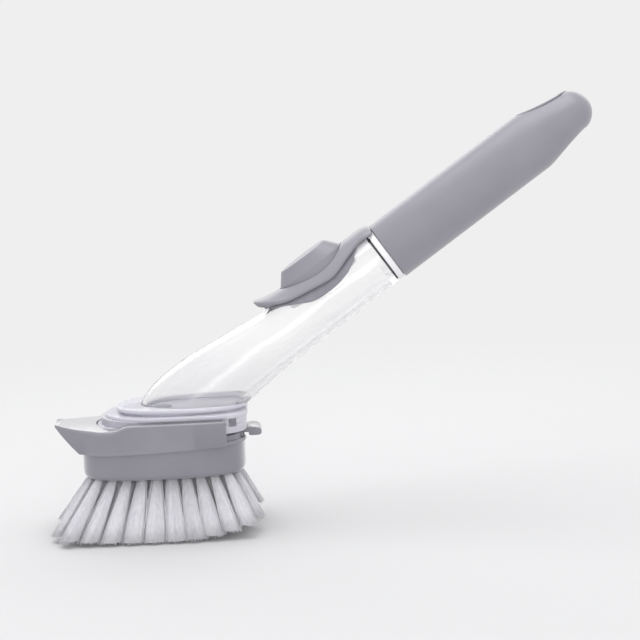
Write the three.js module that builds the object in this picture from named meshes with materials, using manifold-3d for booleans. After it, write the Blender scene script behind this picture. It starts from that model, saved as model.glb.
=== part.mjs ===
// Soap-dispensing pot brush: a clear reservoir with a press button, a screw-off handle
// and a slide-off brush head with a scraper nose.
// Millimetres, +Z up. +X runs to the handle, the scraper nose points to -X, and Y = 0 is the
// mirror plane. The sizes are laid out from a line near the outlet, with the bristle tips at Z = 0,
// and the assembly then moves along X until the origin is the middle of its footprint.
import * as THREE from "three";
import { mergeVertices } from "three/addons/utils/BufferGeometryUtils.js";
import Module from "manifold-3d";

const wasm = await Module();
wasm.setup();

// Clearances
const SEAT_GAP = 0.3; // between pieces that rest on each other
const SLIDE_GAP = 0.35; // round pieces that slide or turn
const TUFT_GAP = 0.1; // round a tuft in its hole

// Handle line: the mouth is the grip's lower end, u runs up the handle from it, v is square to it
const HANDLE_ANGLE = THREE.MathUtils.degToRad(35);
const MOUTH_X = 106.5;
const MOUTH_Z = 120;

// Handle grip
const GRIP_RADIUS = 13.7;
const GRIP_LENGTH = 110.4;
const GRIP_WALL = 2.5;
const MOUTH_CHAMFER = 0.6;
const TAPER_LENGTH = 31; // flattened tail
const TAIL_HALF_HEIGHT = 9.6; // where the round end begins
const TAIL_HALF_WIDTH = 11.8;
const TAIL_ROUND = 9; // length of the round end
const CORE_END_WALL = 9; // solid plastic between the hollow and the hang hole
const HANG_HOLE_LENGTH = 24;
const HANG_HOLE_WIDTH = 11;
const HANG_HOLE_MARGIN = 5.5; // tail left behind the hole
const TAPER_STEPS = 4;
const TAIL_STEPS = 5;
const TAIL_END_ANGLE = 86; // degrees, where the round end is closed flat

// Screw joint: neck of the reservoir, clear collar in the grip, seal between them
const NECK_RADIUS = 10.2;
const NECK_LENGTH = 16.5;
const NECK_WALL = 2;
const SEAL_THICKNESS = 0.8;
const COLLAR_BAND = 2.5; // width of the band that shows
const COLLAR_INSET = 0.3; // band radius under the grip's
const COLLAR_WALL = 1.6;
const COLLAR_FLOOR = 2;
const COLLAR_HEADROOM = 1.2; // past the neck's end

// Reservoir tube
const TUBE_RADIUS = 13.05;
const TUBE_WALL = 2.2;
const TUBE_STRAIGHT = 57.8; // round stretch below the shoulder
const SHOULDER_WALL = 2.5;
const FOOT_FRONT_X = -6;
const FOOT_REAR_X = 43.6;
const FOOT_HALF_WIDTH = 17.5;
const HEEL_WALL = 4.4; // measured along X, the wall leans there
const FOOT_LIP_FRONT = 10.4; // lip in front of the tube
const FOOT_LIP_REAR_X = 42;
const FOOT_LIP_HALF_WIDTH = 20.5;
const FOOT_LIP_THICKNESS = 1.8;
const LIP_SQUARENESS = 2.5; // exponent of the lip's rounded plan
const BULGE_X = -2; // swell of the upper side as it leaves the round stretch
const BULGE_Z = 3.3;
const FRONT_SWEEP_X = 7; // how the upper side comes down to the foot
const FRONT_SWEEP_Z = 14;
const HEEL_ANGLE = THREE.MathUtils.degToRad(42);
const TUBE_STEPS = 9;

// Press button, its bezel and its diaphragm, about a line square to the tube
const BUTTON_U = -31;
const BUTTON_HALF_LENGTH = 16.6;
const BUTTON_HALF_WIDTH = 10;
const BUTTON_EGG = 0.16; // how much fuller its plan is towards the grip
const BUTTON_TOP_HALF_LENGTH = 11.4;
const BUTTON_TOP_HALF_WIDTH = 6.4;
const BUTTON_TOP_V = 21.4;
const BUTTON_SHOULDER_V = 15.6; // where the sides start to slope
const BUTTON_DEPTH = 12.6;
const BUTTON_WALL = 1.6;
const BUTTON_TRAVEL = 3;
const BUTTON_EDGE = 0.6;
const LUG_REACH = 1.4;
const LUG_HEIGHT = 1.4;
const LUG_HALF_WIDTH = 3;
const DIAPHRAGM_SHEET = 0.9;
const DIAPHRAGM_RIM = 3.2; // plan width of the clamped rim at the ends
const DIAPHRAGM_HALF_WIDTH = 13.2;
const DIAPHRAGM_TONGUE = 5; // how much further the rim reaches under the visor
const DIAPHRAGM_REST_GAP = 2.4; // from the button's edge down to the floor
const BEZEL_THICKNESS = 1.8;
const BEZEL_HALF_WIDTH = 12.8;
const BEZEL_NECK_HALF_WIDTH = 9.5;
const BEZEL_CORNER = 1.6; // round of its end by the grip, in plan
const BEZEL_ROLL = 3; // length of that end's rounded top
const VISOR_REACH = 30; // from the button's middle to the visor's tip
const VISOR_RISE = 3.1;
const VISOR_EDGE = 1.4;
const VISOR_HALF_WIDTH = 8.6;
const BEZEL_EDGE = 0.7;
const BEZEL_STEPS = 24;

// Base plate: second lip, groove for the rails and plinth
const BASE_LIP_FRONT_X = -21.7;
const BASE_LIP_REAR_X = 41.6;
const BASE_LIP_HALF_WIDTH = 22.4;
const BASE_LIP_THICKNESS = 2.1;
const WELD_STEP = 1; // waist between the two lips
const WELD_INSET = 2.2;
const PLINTH_FRONT_X = -25.6;
const PLINTH_REAR_X = 41;
const PLINTH_FLANGE = 3.7;
const PLINTH_CORNER = 13;

// Outlet in the base plate
const OUTLET_X = 4;
const OUTLET_RADIUS = 4.4;
const DRAIN_REACH = 9;
const VALVE_SEAT_RADIUS = 10.6;
const VALVE_SEAT_DEPTH = 5.4;
const VALVE_SHEET = 1.1;
const VALVE_DOME_RADIUS = 3.6;
const VALVE_SLIT = 0.4;
const RETAINER_THICKNESS = 2.6;

// Brush head
const HEAD_CENTRE_X = 3.8;
const HEAD_HALF_LENGTH = 36.6;
const HEAD_HALF_WIDTH = 26;
const HEAD_SQUARENESS = 3.2; // exponent of the rounded plan
const RIM_Z = 51.5;
const SHOE_FLOOR_Z = 45.2;
const SHOE_FLOOR = 2;
const SHOE_WALL = 2.5;
const RAIL_DEPTH = 1.6;
const RAIL_HEIGHT = 2;
const RAIL_FRONT_X = -7.5;
const RAIL_REAR_X = 32;
const RAMP_LENGTH = 12.5;
const NOSE_TIP_X = -43.8;
const NOSE_TIP_Z = 50.2;
const NOSE_TIP_HALF_WIDTH = 8;
const NOSE_EDGE = 1;
const NOSE_DIP_Z = 48; // lowest part of the nose's rim
const NOSE_STEPS = 8;
const PROW_REACH = 6; // bow of the face under the nose
const PROW_RISE = 5;
const NOSE_CHEEK = 0.85; // how full the nose's plan is, as a share of the head's width
const PARTING_Z = 39.4; // at X = 0
const PARTING_SLOPE = 0.034;

// Release tab
const TAB_ROOT_X = 13;
const TAB_END_X = 47.5;
const TAB_HALF_WIDTH = 7;
const TAB_THICKNESS = 1.9;
const TAB_LIP_RISE = 0.3;
const TAB_LIP_DROP = 1.5;
const TAB_LIP_LENGTH = 5.9;
const TAB_EDGE = 1;
const CATCH_X = 33.6;
const CATCH_LENGTH = 4;
const CATCH_HEIGHT = 2.4;
const TAB_ROOM = 2.2; // cut down into the block so the tab can be pressed

// Bristle block and bristles
const BLOCK_INSET = 0.6;
const BLOCK_BOTTOM_Z = 27;
const BLOCK_WALL = 2;
const BLOCK_FLOOR = 2.2;
const BLOCK_FILLET = 3.4;
const CARRIER_THICKNESS = 1.5;
const ROWS = 6;
const ROW_PITCH = 6.1;
const TUFT_PITCH = 6;
const TUFT_MARGIN = 0.3; // plastic between a tuft hole and the block's wall
const TUFT_RADIUS = 1.1;
const STRANDS_PER_TUFT = 7;
const STRAND_RADIUS = 0.5;
const STRAND_TIP_RADIUS = 0.44;
const FAN_FRONT = 0.68; // sideways run of an end tuft per unit of drop
const FAN_REAR = 0.47;
const FAN_SIDE = 0.58;
const TUFT_SPLAY = 0.075;
const TRIM_FRONT = 2.6; // how far the outer tips are trimmed up
const TRIM_REAR = 7;
const TRIM_SIDE = 1;
const STAND_CUT = 0.5;

// Facets round a curve
const ROUND = 32;
const SMALL_ROUND = 16;
const CORNER_STEPS = 7;
const HOLE_SIDES = 6;

// Cutters reach this far past the faces they cut
const OVERCUT = 1;

// Values that follow from the sizes above
const SEAL_U = -COLLAR_BAND - 2 * SEAT_GAP - SEAL_THICKNESS;
const SHOULDER_U = SEAL_U - SEAT_GAP;
const TUBE_DROP = GRIP_RADIUS - TUBE_RADIUS; // lowers the tube's line so the undersides run flush
const STRAIGHT_END_U = SHOULDER_U - TUBE_STRAIGHT;
const RIM_INNER_RADIUS = TUBE_RADIUS + SEAT_GAP;
const RIM_OUTER_RADIUS = RIM_INNER_RADIUS + DIAPHRAGM_SHEET;
const BEZEL_INNER_RADIUS = RIM_OUTER_RADIUS + SEAT_GAP;
const BEZEL_OUTER_RADIUS = BEZEL_INNER_RADIUS + BEZEL_THICKNESS;
const CUP_HALF_LENGTH = BUTTON_HALF_LENGTH + LUG_REACH + SLIDE_GAP + DIAPHRAGM_SHEET;
const CUP_HALF_WIDTH = BUTTON_HALF_WIDTH + SLIDE_GAP + DIAPHRAGM_SHEET;
const BASE_LIP_Z = RIM_Z + SLIDE_GAP; // underside of the second lip
const WELD_Z = BASE_LIP_Z + BASE_LIP_THICKNESS;
const FOOT_Z = WELD_Z + WELD_STEP; // underside of the tube's lip
const FOOT_TOP_Z = FOOT_Z + FOOT_LIP_THICKNESS;
const PLINTH_Z = SHOE_FLOOR_Z + SEAT_GAP;
const PLINTH_HALF_WIDTH = HEAD_HALF_WIDTH - SHOE_WALL - SEAT_GAP;
const GROOVE_HALF_WIDTH = HEAD_HALF_WIDTH - SHOE_WALL - RAIL_DEPTH - SLIDE_GAP;
const CARRIER_Z = BLOCK_BOTTOM_Z + BLOCK_FLOOR + SEAT_GAP;
const TUFT_REACH = TUFT_RADIUS + STRAND_RADIUS + TUFT_SPLAY * (CARRIER_Z - BLOCK_BOTTOM_Z);
const TUFT_HOLE_RADIUS = (TUFT_REACH + TUFT_GAP) / Math.cos(Math.PI / HOLE_SIDES);
const FIELD_INSET = BLOCK_INSET + BLOCK_WALL + TUFT_HOLE_RADIUS + TUFT_MARGIN;
const FIELD_HALF_LENGTH = HEAD_HALF_LENGTH - FIELD_INSET;
const FIELD_HALF_WIDTH = HEAD_HALF_WIDTH - FIELD_INSET;

const HANDLE_FRAME = new THREE.Matrix4()
  .makeTranslation(MOUTH_X, 0, MOUTH_Z)
  .multiply(new THREE.Matrix4().makeRotationY(-HANDLE_ANGLE));

// Materials
function plastic(color, roughness) {
  return new THREE.MeshStandardMaterial({ color, roughness, metalness: 0 });
}
const GREY = 0x9a98a1;
const CLEAR = 0xeceaf0;
function clear() {
  const material = plastic(CLEAR, 0.08);
  material.transparent = true;
  material.opacity = 0.35;
  return material;
}

// A closed three.js geometry as a solid
function solid(geometry) {
  const bare = geometry.index ? geometry.toNonIndexed() : geometry.clone();
  bare.deleteAttribute("normal");
  bare.deleteAttribute("uv");
  const merged = mergeVertices(bare, 1e-4);
  return new wasm.Manifold(
    new wasm.Mesh({
      numProp: 3,
      vertProperties: merged.attributes.position.array,
      triVerts: new Uint32Array(merged.index.array),
    }),
  );
}

// A solid as a named mesh
function piece(name, body, material) {
  const made = body.getMesh();
  const geometry = new THREE.BufferGeometry()
    .setAttribute("position", new THREE.BufferAttribute(made.vertProperties, 3))
    .setIndex(new THREE.BufferAttribute(made.triVerts, 1));
  geometry.computeVertexNormals();
  const mesh = new THREE.Mesh(geometry, material);
  mesh.name = name;
  return mesh;
}

// A solid skinned over rings of points, each ring flat and closed by a fan
function loft(rings) {
  const count = rings[0].length;
  const points = rings.flat();
  const index = [];
  for (let r = 0; r + 1 < rings.length; r += 1) {
    for (let i = 0; i < count; i += 1) {
      const a = r * count + i;
      const b = r * count + ((i + 1) % count);
      index.push(a, b, a + count, b, b + count, a + count);
    }
  }
  const last = (rings.length - 1) * count;
  const middle = (ends) =>
    ends.reduce((sum, p) => sum.add(p), new THREE.Vector3()).divideScalar(count);
  const first = points.push(middle(rings[0])) - 1;
  const end = points.push(middle(rings.at(-1))) - 1;
  for (let i = 0; i < count; i += 1) {
    const next = (i + 1) % count;
    index.push(first, next, i, end, last + i, last + next);
  }
  const geometry = new THREE.BufferGeometry().setFromPoints(points);
  geometry.setIndex(index);
  return solid(geometry);
}

// A ring of an ellipse or rounded square about a centre, spanned by two half axes
function ring(centre, halfA, halfB, exponent = 2, count = ROUND) {
  return Array.from({ length: count }, (_, i) => {
    const angle = (2 * Math.PI * i) / count;
    const c = Math.cos(angle);
    const s = Math.sin(angle);
    const a = Math.sign(c) * Math.abs(c) ** (2 / exponent);
    const b = Math.sign(s) * Math.abs(s) ** (2 / exponent);
    return centre.clone().addScaledVector(halfA, a).addScaledVector(halfB, b);
  });
}

const flatRing = (x, z, halfLength, halfWidth, exponent, count) =>
  ring(
    new THREE.Vector3(x, 0, z),
    new THREE.Vector3(halfLength, 0, 0),
    new THREE.Vector3(0, halfWidth, 0),
    exponent,
    count,
  );

// A ring square to the handle line
const crossRing = (u, v, halfHeight, halfWidth, exponent, count) =>
  ring(
    new THREE.Vector3(u, 0, v),
    new THREE.Vector3(0, halfWidth, 0),
    new THREE.Vector3(0, 0, halfHeight),
    exponent,
    count,
  );

// A plan outline raised from one height to another
function raise(shape, low, high) {
  const settings = { depth: high - low, bevelEnabled: false, curveSegments: CORNER_STEPS };
  return solid(new THREE.ExtrudeGeometry(shape, settings).translate(0, 0, low));
}

// A side outline, drawn in X and Z, run across the mirror plane
function across(shape, halfWidth) {
  const settings = { depth: 2 * halfWidth, bevelEnabled: false, curveSegments: CORNER_STEPS };
  const geometry = new THREE.ExtrudeGeometry(shape, settings);
  return solid(geometry.rotateX(Math.PI / 2).translate(0, halfWidth, 0));
}

// A profile of [radius, height] turned about a vertical line, or about the handle line
function turn(profile, segments = ROUND) {
  const points = profile.map(([r, h]) => new THREE.Vector2(r, h));
  return solid(new THREE.LatheGeometry(points, segments));
}
const turnUpright = (profile, x, z, segments) =>
  turn(profile, segments).rotate([90, 0, 0]).translate([x, 0, z]);
const turnHandle = (profile, v, segments) =>
  turn(profile, segments).rotate([0, 0, -90]).translate([0, 0, v]);

// Closed profile of a rod or bore from one height to another
const rod = (radius, low, high) => [[0, low], [radius, low], [radius, high], [0, high]];

// Closed profile of a sleeve
const sleeve = (inner, outer, low, high) => [
  [inner, low],
  [outer, low],
  [outer, high],
  [inner, high],
  [inner, low],
];

// Soap's way down through a floor of the brush head
const drainThrough = (z) =>
  turnUpright(rod(OUTLET_RADIUS, -DRAIN_REACH, DRAIN_REACH), OUTLET_X, z, SMALL_ROUND);

const inHandleFrame = (body) => body.transform(HANDLE_FRAME.elements);

function polygon(points) {
  return new THREE.Shape(points.map(([x, y]) => new THREE.Vector2(x, y)));
}

function oval(x, halfLength, halfWidth, exponent = 2, count = ROUND) {
  return polygon(flatRing(x, 0, halfLength, halfWidth, exponent, count).map((p) => [p.x, p.y]));
}

// Rings and plans of the button and of what fits round it
function buttonRing(v, halfLength, halfWidth) {
  return flatRing(BUTTON_U, v, halfLength, halfWidth).map((p) => {
    const along = (p.x - BUTTON_U) / halfLength;
    return p.setY(p.y * (1 + BUTTON_EGG * along));
  });
}

function buttonPlan(halfLength, halfWidth) {
  return polygon(buttonRing(0, halfLength, halfWidth).map((p) => [p.x, p.y]));
}

// A mirrored plan from one side's points, front to rear
function mirrored(points) {
  const other = points.map(([x, y]) => [x, -y]).reverse();
  return polygon([...points, ...other.filter(([, y]) => y !== 0)]);
}

// A plan with a round front and round rear corners
function roundedPlan(frontX, rearX, halfWidth, corner) {
  const shape = new THREE.Shape();
  const front = Math.min(halfWidth, (rearX - frontX - corner) / 2);
  shape.moveTo(frontX + front, -halfWidth);
  shape.lineTo(rearX - corner, -halfWidth);
  shape.absellipse(rearX - corner, -halfWidth + corner, corner, corner, -Math.PI / 2, 0);
  shape.lineTo(rearX, halfWidth - corner);
  shape.absellipse(rearX - corner, halfWidth - corner, corner, corner, 0, Math.PI / 2);
  shape.lineTo(frontX + front, halfWidth);
  shape.absellipse(frontX + front, 0, front, halfWidth, Math.PI / 2, (3 * Math.PI) / 2);
  return shape;
}

// Handle

function handleGrip() {
  const taper = GRIP_LENGTH - TAPER_LENGTH;
  const roundStart = GRIP_LENGTH - TAIL_ROUND;
  const rings = [
    crossRing(0, 0, GRIP_RADIUS - MOUTH_CHAMFER, GRIP_RADIUS - MOUTH_CHAMFER),
    crossRing(MOUTH_CHAMFER, 0, GRIP_RADIUS, GRIP_RADIUS),
  ];
  for (let i = 0; i <= TAPER_STEPS; i += 1) {
    const t = i / TAPER_STEPS;
    const height = THREE.MathUtils.lerp(GRIP_RADIUS, TAIL_HALF_HEIGHT, t ** 1.2);
    const width = THREE.MathUtils.lerp(GRIP_RADIUS, TAIL_HALF_WIDTH, t * t);
    rings.push(crossRing(THREE.MathUtils.lerp(taper, roundStart, t), 0, height, width));
  }
  for (let i = 1; i <= TAIL_STEPS; i += 1) {
    const a = THREE.MathUtils.degToRad((TAIL_END_ANGLE * i) / TAIL_STEPS);
    const u = roundStart + TAIL_ROUND * Math.sin(a);
    rings.push(crossRing(u, 0, TAIL_HALF_HEIGHT * Math.cos(a), TAIL_HALF_WIDTH * Math.cos(a)));
  }
  const socketRadius = NECK_RADIUS + SLIDE_GAP + COLLAR_WALL + SEAT_GAP;
  const socketDepth = collarDepth() + SEAT_GAP;
  const holeStart = GRIP_LENGTH - HANG_HOLE_MARGIN - HANG_HOLE_LENGTH;
  const coreEnd = holeStart - CORE_END_WALL;
  const coreRadius = GRIP_RADIUS - GRIP_WALL;
  const core = [
    [0, -OVERCUT],
    [socketRadius, -OVERCUT],
    [socketRadius, socketDepth],
    [coreRadius, socketDepth],
    [coreRadius, coreEnd - coreRadius / 2],
    [coreRadius / 2, coreEnd],
    [0, coreEnd],
  ];
  const hole = oval(holeStart + HANG_HOLE_LENGTH / 2, HANG_HOLE_LENGTH / 2, HANG_HOLE_WIDTH / 2);
  return loft(rings)
    .subtract(turnHandle(core, 0))
    .subtract(raise(hole, -GRIP_RADIUS, GRIP_RADIUS));
}

// Depth of the collar's cup past the grip's mouth
function collarDepth() {
  return SHOULDER_U + NECK_LENGTH + COLLAR_HEADROOM + COLLAR_FLOOR;
}

function handleCollar() {
  const bore = NECK_RADIUS + SLIDE_GAP;
  const outer = bore + COLLAR_WALL;
  const depth = collarDepth();
  const bandStart = -COLLAR_BAND - SEAT_GAP;
  return turnHandle(
    [
      [0, depth],
      [0, depth - COLLAR_FLOOR],
      [bore, depth - COLLAR_FLOOR],
      [bore, bandStart],
      [GRIP_RADIUS - COLLAR_INSET, bandStart],
      [GRIP_RADIUS - COLLAR_INSET, -SEAT_GAP],
      [outer, -SEAT_GAP],
      [outer, depth],
      [0, depth],
    ],
    0,
  );
}

function mouthSeal() {
  const inner = NECK_RADIUS + SLIDE_GAP;
  const outer = TUBE_RADIUS - TUBE_DROP;
  return turnHandle(sleeve(inner, outer, SEAL_U, SEAL_U + SEAL_THICKNESS), 0);
}

// Reservoir

// The tube's skin or hollow: a round stretch in the handle line that fans out to the oval foot
function tubeForm(wall, startU, frontX, rearX, footZ) {
  const radius = TUBE_RADIUS - wall;
  const place = (u, v) => new THREE.Vector3(u, 0, v).applyMatrix4(HANDLE_FRAME);
  const along = new THREE.Vector3(-Math.cos(HANDLE_ANGLE), 0, -Math.sin(HANDLE_ANGLE));
  const upper = place(STRAIGHT_END_U, radius - TUBE_DROP);
  const lower = place(STRAIGHT_END_U, -radius - TUBE_DROP);
  const front = new THREE.Vector3(frontX, 0, footZ);
  const rear = new THREE.Vector3(rearX, 0, footZ);
  const reach = upper.distanceTo(front);
  const top = new THREE.CubicBezierCurve3(
    upper,
    upper.clone().addScaledVector(along, reach / 2).add(new THREE.Vector3(BULGE_X, 0, BULGE_Z)),
    front.clone().add(new THREE.Vector3(FRONT_SWEEP_X, 0, FRONT_SWEEP_Z)),
    front,
  );
  const heel = lower.distanceTo(rear);
  const lean = new THREE.Vector3(Math.cos(HEEL_ANGLE), 0, Math.sin(HEEL_ANGLE));
  const bottom = new THREE.CubicBezierCurve3(
    lower,
    lower.clone().addScaledVector(along, heel / 3),
    rear.clone().addScaledVector(lean, heel / 4),
    rear,
  );
  const sideways = new THREE.Vector3(0, 1, 0);
  const rings = [];
  for (const u of [startU, STRAIGHT_END_U]) {
    const up = place(0, 1).sub(place(0, 0)).multiplyScalar(radius);
    rings.push(ring(place(u, -TUBE_DROP), sideways.clone().multiplyScalar(radius), up));
  }
  for (let i = 1; i <= TUBE_STEPS; i += 1) {
    const t = i / TUBE_STEPS;
    const a = top.getPoint(t);
    const b = bottom.getPoint(t);
    const ease = THREE.MathUtils.smoothstep(t, 0, 1);
    const width = THREE.MathUtils.lerp(TUBE_RADIUS, FOOT_HALF_WIDTH, ease) - wall;
    const centre = a.clone().lerp(b, 0.5);
    const half = a.clone().sub(centre);
    rings.push(ring(centre, sideways.clone().multiplyScalar(width), half));
  }
  return loft(rings.reverse());
}

// Plan of the lip round the tube's foot
function footPlan(inset) {
  const front = FOOT_FRONT_X - FOOT_LIP_FRONT + inset;
  const rear = FOOT_LIP_REAR_X - inset;
  return oval((front + rear) / 2, (rear - front) / 2, FOOT_LIP_HALF_WIDTH - inset, LIP_SQUARENESS);
}

function reservoirTube() {
  const skin = tubeForm(0, SHOULDER_U, FOOT_FRONT_X, FOOT_REAR_X, FOOT_TOP_Z);
  const hollowFront = FOOT_FRONT_X + TUBE_WALL;
  const hollowRear = FOOT_REAR_X - HEEL_WALL;
  const hollow = tubeForm(TUBE_WALL, SHOULDER_U - SHOULDER_WALL, hollowFront, hollowRear, FOOT_TOP_Z);
  const lip = raise(footPlan(0), FOOT_Z, FOOT_TOP_Z);
  const throat = raise(
    oval((hollowFront + hollowRear) / 2, (hollowRear - hollowFront) / 2, FOOT_HALF_WIDTH - TUBE_WALL),
    FOOT_Z - OVERCUT,
    FOOT_TOP_Z,
  );
  const neckTop = SHOULDER_U + NECK_LENGTH;
  const neckRoot = SHOULDER_U - SHOULDER_WALL;
  const neck = turnHandle(rod(NECK_RADIUS, neckRoot, neckTop), 0);
  const bore = turnHandle(rod(NECK_RADIUS - NECK_WALL, neckRoot - SHOULDER_WALL, neckTop + OVERCUT), 0);
  const port = raise(
    buttonPlan(CUP_HALF_LENGTH + SEAT_GAP, CUP_HALF_WIDTH + SEAT_GAP),
    cupFloorV() - DIAPHRAGM_SHEET - BUTTON_TRAVEL,
    2 * TUBE_RADIUS,
  );
  return skin
    .add(lip)
    .add(inHandleFrame(neck))
    .subtract(hollow)
    .subtract(throat)
    .subtract(inHandleFrame(bore))
    .subtract(inHandleFrame(port));
}

// Height of the diaphragm's floor under the button
function cupFloorV() {
  return BUTTON_TOP_V - BUTTON_DEPTH - DIAPHRAGM_REST_GAP;
}

function pumpDiaphragm() {
  const start = BUTTON_U - CUP_HALF_LENGTH - 2 * DIAPHRAGM_RIM - DIAPHRAGM_TONGUE;
  const end = BUTTON_U + CUP_HALF_LENGTH + 2 * DIAPHRAGM_RIM;
  const saddle = turnHandle(sleeve(RIM_INNER_RADIUS, RIM_OUTER_RADIUS, start, end), -TUBE_DROP, 2 * ROUND);
  const outside = turnHandle(rod(RIM_OUTER_RADIUS, start, end), -TUBE_DROP, 2 * ROUND);
  const high = 2 * TUBE_RADIUS;
  const rimHalfLength = CUP_HALF_LENGTH + DIAPHRAGM_RIM + DIAPHRAGM_TONGUE / 2;
  const rim = oval(BUTTON_U - DIAPHRAGM_TONGUE / 2, rimHalfLength, DIAPHRAGM_HALF_WIDTH, LIP_SQUARENESS);
  const plan = raise(rim, 0, high);
  const floor = cupFloorV();
  const cup = raise(buttonPlan(CUP_HALF_LENGTH, CUP_HALF_WIDTH), floor - DIAPHRAGM_SHEET, high);
  const inside = raise(
    buttonPlan(CUP_HALF_LENGTH - DIAPHRAGM_SHEET, CUP_HALF_WIDTH - DIAPHRAGM_SHEET),
    floor,
    high,
  );
  return saddle.intersect(plan).add(cup.intersect(outside)).subtract(inside);
}

function buttonBezel() {
  const tip = BUTTON_U - VISOR_REACH;
  const crest = BEZEL_OUTER_RADIUS + VISOR_RISE;
  const front = BUTTON_U - BUTTON_HALF_LENGTH;
  const end = BUTTON_U + BUTTON_HALF_LENGTH;
  const rear = -SEAT_GAP;
  const dip = new THREE.QuadraticBezierCurve(
    new THREE.Vector2(crest, tip + VISOR_EDGE / 2),
    new THREE.Vector2(BEZEL_OUTER_RADIUS, (tip + front) / 2),
    new THREE.Vector2(BEZEL_OUTER_RADIUS, front + VISOR_RISE),
  );
  const roll = new THREE.QuadraticBezierCurve(
    new THREE.Vector2(BEZEL_OUTER_RADIUS, rear - BEZEL_ROLL),
    new THREE.Vector2(BEZEL_OUTER_RADIUS, rear),
    new THREE.Vector2(BEZEL_INNER_RADIUS + BEZEL_EDGE, rear),
  );
  const saddle = turnHandle(
    [
      [BEZEL_INNER_RADIUS, rear],
      [BEZEL_INNER_RADIUS, tip + 2 * VISOR_EDGE],
      [crest - 2 * VISOR_EDGE, tip + VISOR_EDGE / 2],
      [crest - VISOR_EDGE, tip],
      ...dip.getPoints(CORNER_STEPS).map((p) => [p.x, p.y]),
      ...roll.getPoints(CORNER_STEPS).map((p) => [p.x, p.y]),
      [BEZEL_INNER_RADIUS, rear],
    ],
    -TUBE_DROP,
    2 * ROUND,
  );
  const side = new THREE.SplineCurve(
    [
      [tip, 0],
      [tip + VISOR_EDGE, VISOR_HALF_WIDTH * 0.55],
      [(tip + front) / 2, VISOR_HALF_WIDTH],
      [front, BEZEL_HALF_WIDTH * 0.87],
      [THREE.MathUtils.lerp(front, end, 0.4), BEZEL_HALF_WIDTH * 0.98],
      [THREE.MathUtils.lerp(front, end, 0.65), BEZEL_HALF_WIDTH],
      [end, BEZEL_NECK_HALF_WIDTH * 1.16],
      [THREE.MathUtils.lerp(end, rear, 0.45), BEZEL_NECK_HALF_WIDTH],
      [rear - BEZEL_CORNER, BEZEL_NECK_HALF_WIDTH],
      [rear + OVERCUT, BEZEL_NECK_HALF_WIDTH * 0.8],
    ].map(([x, y]) => new THREE.Vector2(x, y)),
  );
  const plan = mirrored(side.getPoints(BEZEL_STEPS).map((p) => [p.x, Math.max(0, p.y)]));
  const opening = buttonPlan(BUTTON_HALF_LENGTH + SLIDE_GAP, BUTTON_HALF_WIDTH + SLIDE_GAP);
  const high = 2 * BEZEL_OUTER_RADIUS;
  const collarRoom = turnHandle(rod(GRIP_RADIUS - COLLAR_INSET + SLIDE_GAP, SHOULDER_U, OVERCUT), 0);
  return saddle
    .intersect(raise(plan, OVERCUT, high))
    .subtract(raise(opening, 0, high))
    .subtract(collarRoom);
}

function buttonCap() {
  const bottom = BUTTON_TOP_V - BUTTON_DEPTH;
  const topLevel = (v, grow) => buttonRing(v, BUTTON_TOP_HALF_LENGTH + grow, BUTTON_TOP_HALF_WIDTH + grow);
  const skin = loft([
    buttonRing(bottom, BUTTON_HALF_LENGTH, BUTTON_HALF_WIDTH),
    buttonRing(BUTTON_SHOULDER_V, BUTTON_HALF_LENGTH, BUTTON_HALF_WIDTH - BUTTON_EDGE),
    topLevel(BUTTON_TOP_V - BUTTON_EDGE, BUTTON_EDGE),
    topLevel(BUTTON_TOP_V, 0),
  ]);
  const innerLength = BUTTON_HALF_LENGTH - BUTTON_WALL;
  const innerWidth = BUTTON_HALF_WIDTH - BUTTON_WALL;
  const hollow = loft([
    buttonRing(bottom - OVERCUT, innerLength, innerWidth),
    buttonRing(BUTTON_SHOULDER_V - BUTTON_WALL, innerLength, innerWidth - BUTTON_EDGE),
    topLevel(BUTTON_TOP_V - BUTTON_WALL, -BUTTON_WALL),
  ]);
  const lugTop = BEZEL_INNER_RADIUS - TUBE_DROP - 2 * SEAT_GAP;
  const bar = new THREE.BoxGeometry(4 * BUTTON_HALF_LENGTH, 2 * LUG_HALF_WIDTH, LUG_HEIGHT);
  const lugs = solid(bar.translate(BUTTON_U, 0, lugTop - LUG_HEIGHT / 2));
  const lugEnds = buttonPlan(BUTTON_HALF_LENGTH + LUG_REACH, BUTTON_HALF_WIDTH);
  return skin.add(lugs.intersect(raise(lugEnds, bottom, BUTTON_TOP_V))).subtract(hollow);
}

// Base plate and outlet

function basePlate() {
  const weld = raise(footPlan(WELD_INSET), WELD_Z, FOOT_Z);
  const lip = roundedPlan(BASE_LIP_FRONT_X, BASE_LIP_REAR_X, BASE_LIP_HALF_WIDTH, PLINTH_CORNER);
  const grooveFront = (BASE_LIP_FRONT_X + PLINTH_FRONT_X) / 2;
  const groove = roundedPlan(grooveFront, PLINTH_REAR_X, GROOVE_HALF_WIDTH, PLINTH_CORNER);
  const flange = roundedPlan(PLINTH_FRONT_X, PLINTH_REAR_X, PLINTH_HALF_WIDTH, PLINTH_CORNER);
  const outlet = turnUpright(rod(OUTLET_RADIUS, 0, FOOT_Z), OUTLET_X, PLINTH_Z, SMALL_ROUND);
  const seat = turnUpright(rod(VALVE_SEAT_RADIUS, -OVERCUT, VALVE_SEAT_DEPTH), OUTLET_X, PLINTH_Z);
  const notchLength = CATCH_LENGTH + 2 * SLIDE_GAP;
  const notch = new THREE.BoxGeometry(notchLength, 2 * (TAB_HALF_WIDTH + SLIDE_GAP), 2 * CATCH_HEIGHT);
  const catchRoom = solid(notch.translate(CATCH_X - SLIDE_GAP + notchLength / 2, 0, PLINTH_Z));
  return weld
    .add(raise(lip, BASE_LIP_Z, WELD_Z))
    .add(raise(groove, PLINTH_Z, BASE_LIP_Z))
    .add(raise(flange, PLINTH_Z, PLINTH_Z + PLINTH_FLANGE))
    .subtract(outlet)
    .subtract(seat)
    .subtract(catchRoom);
}

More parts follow.
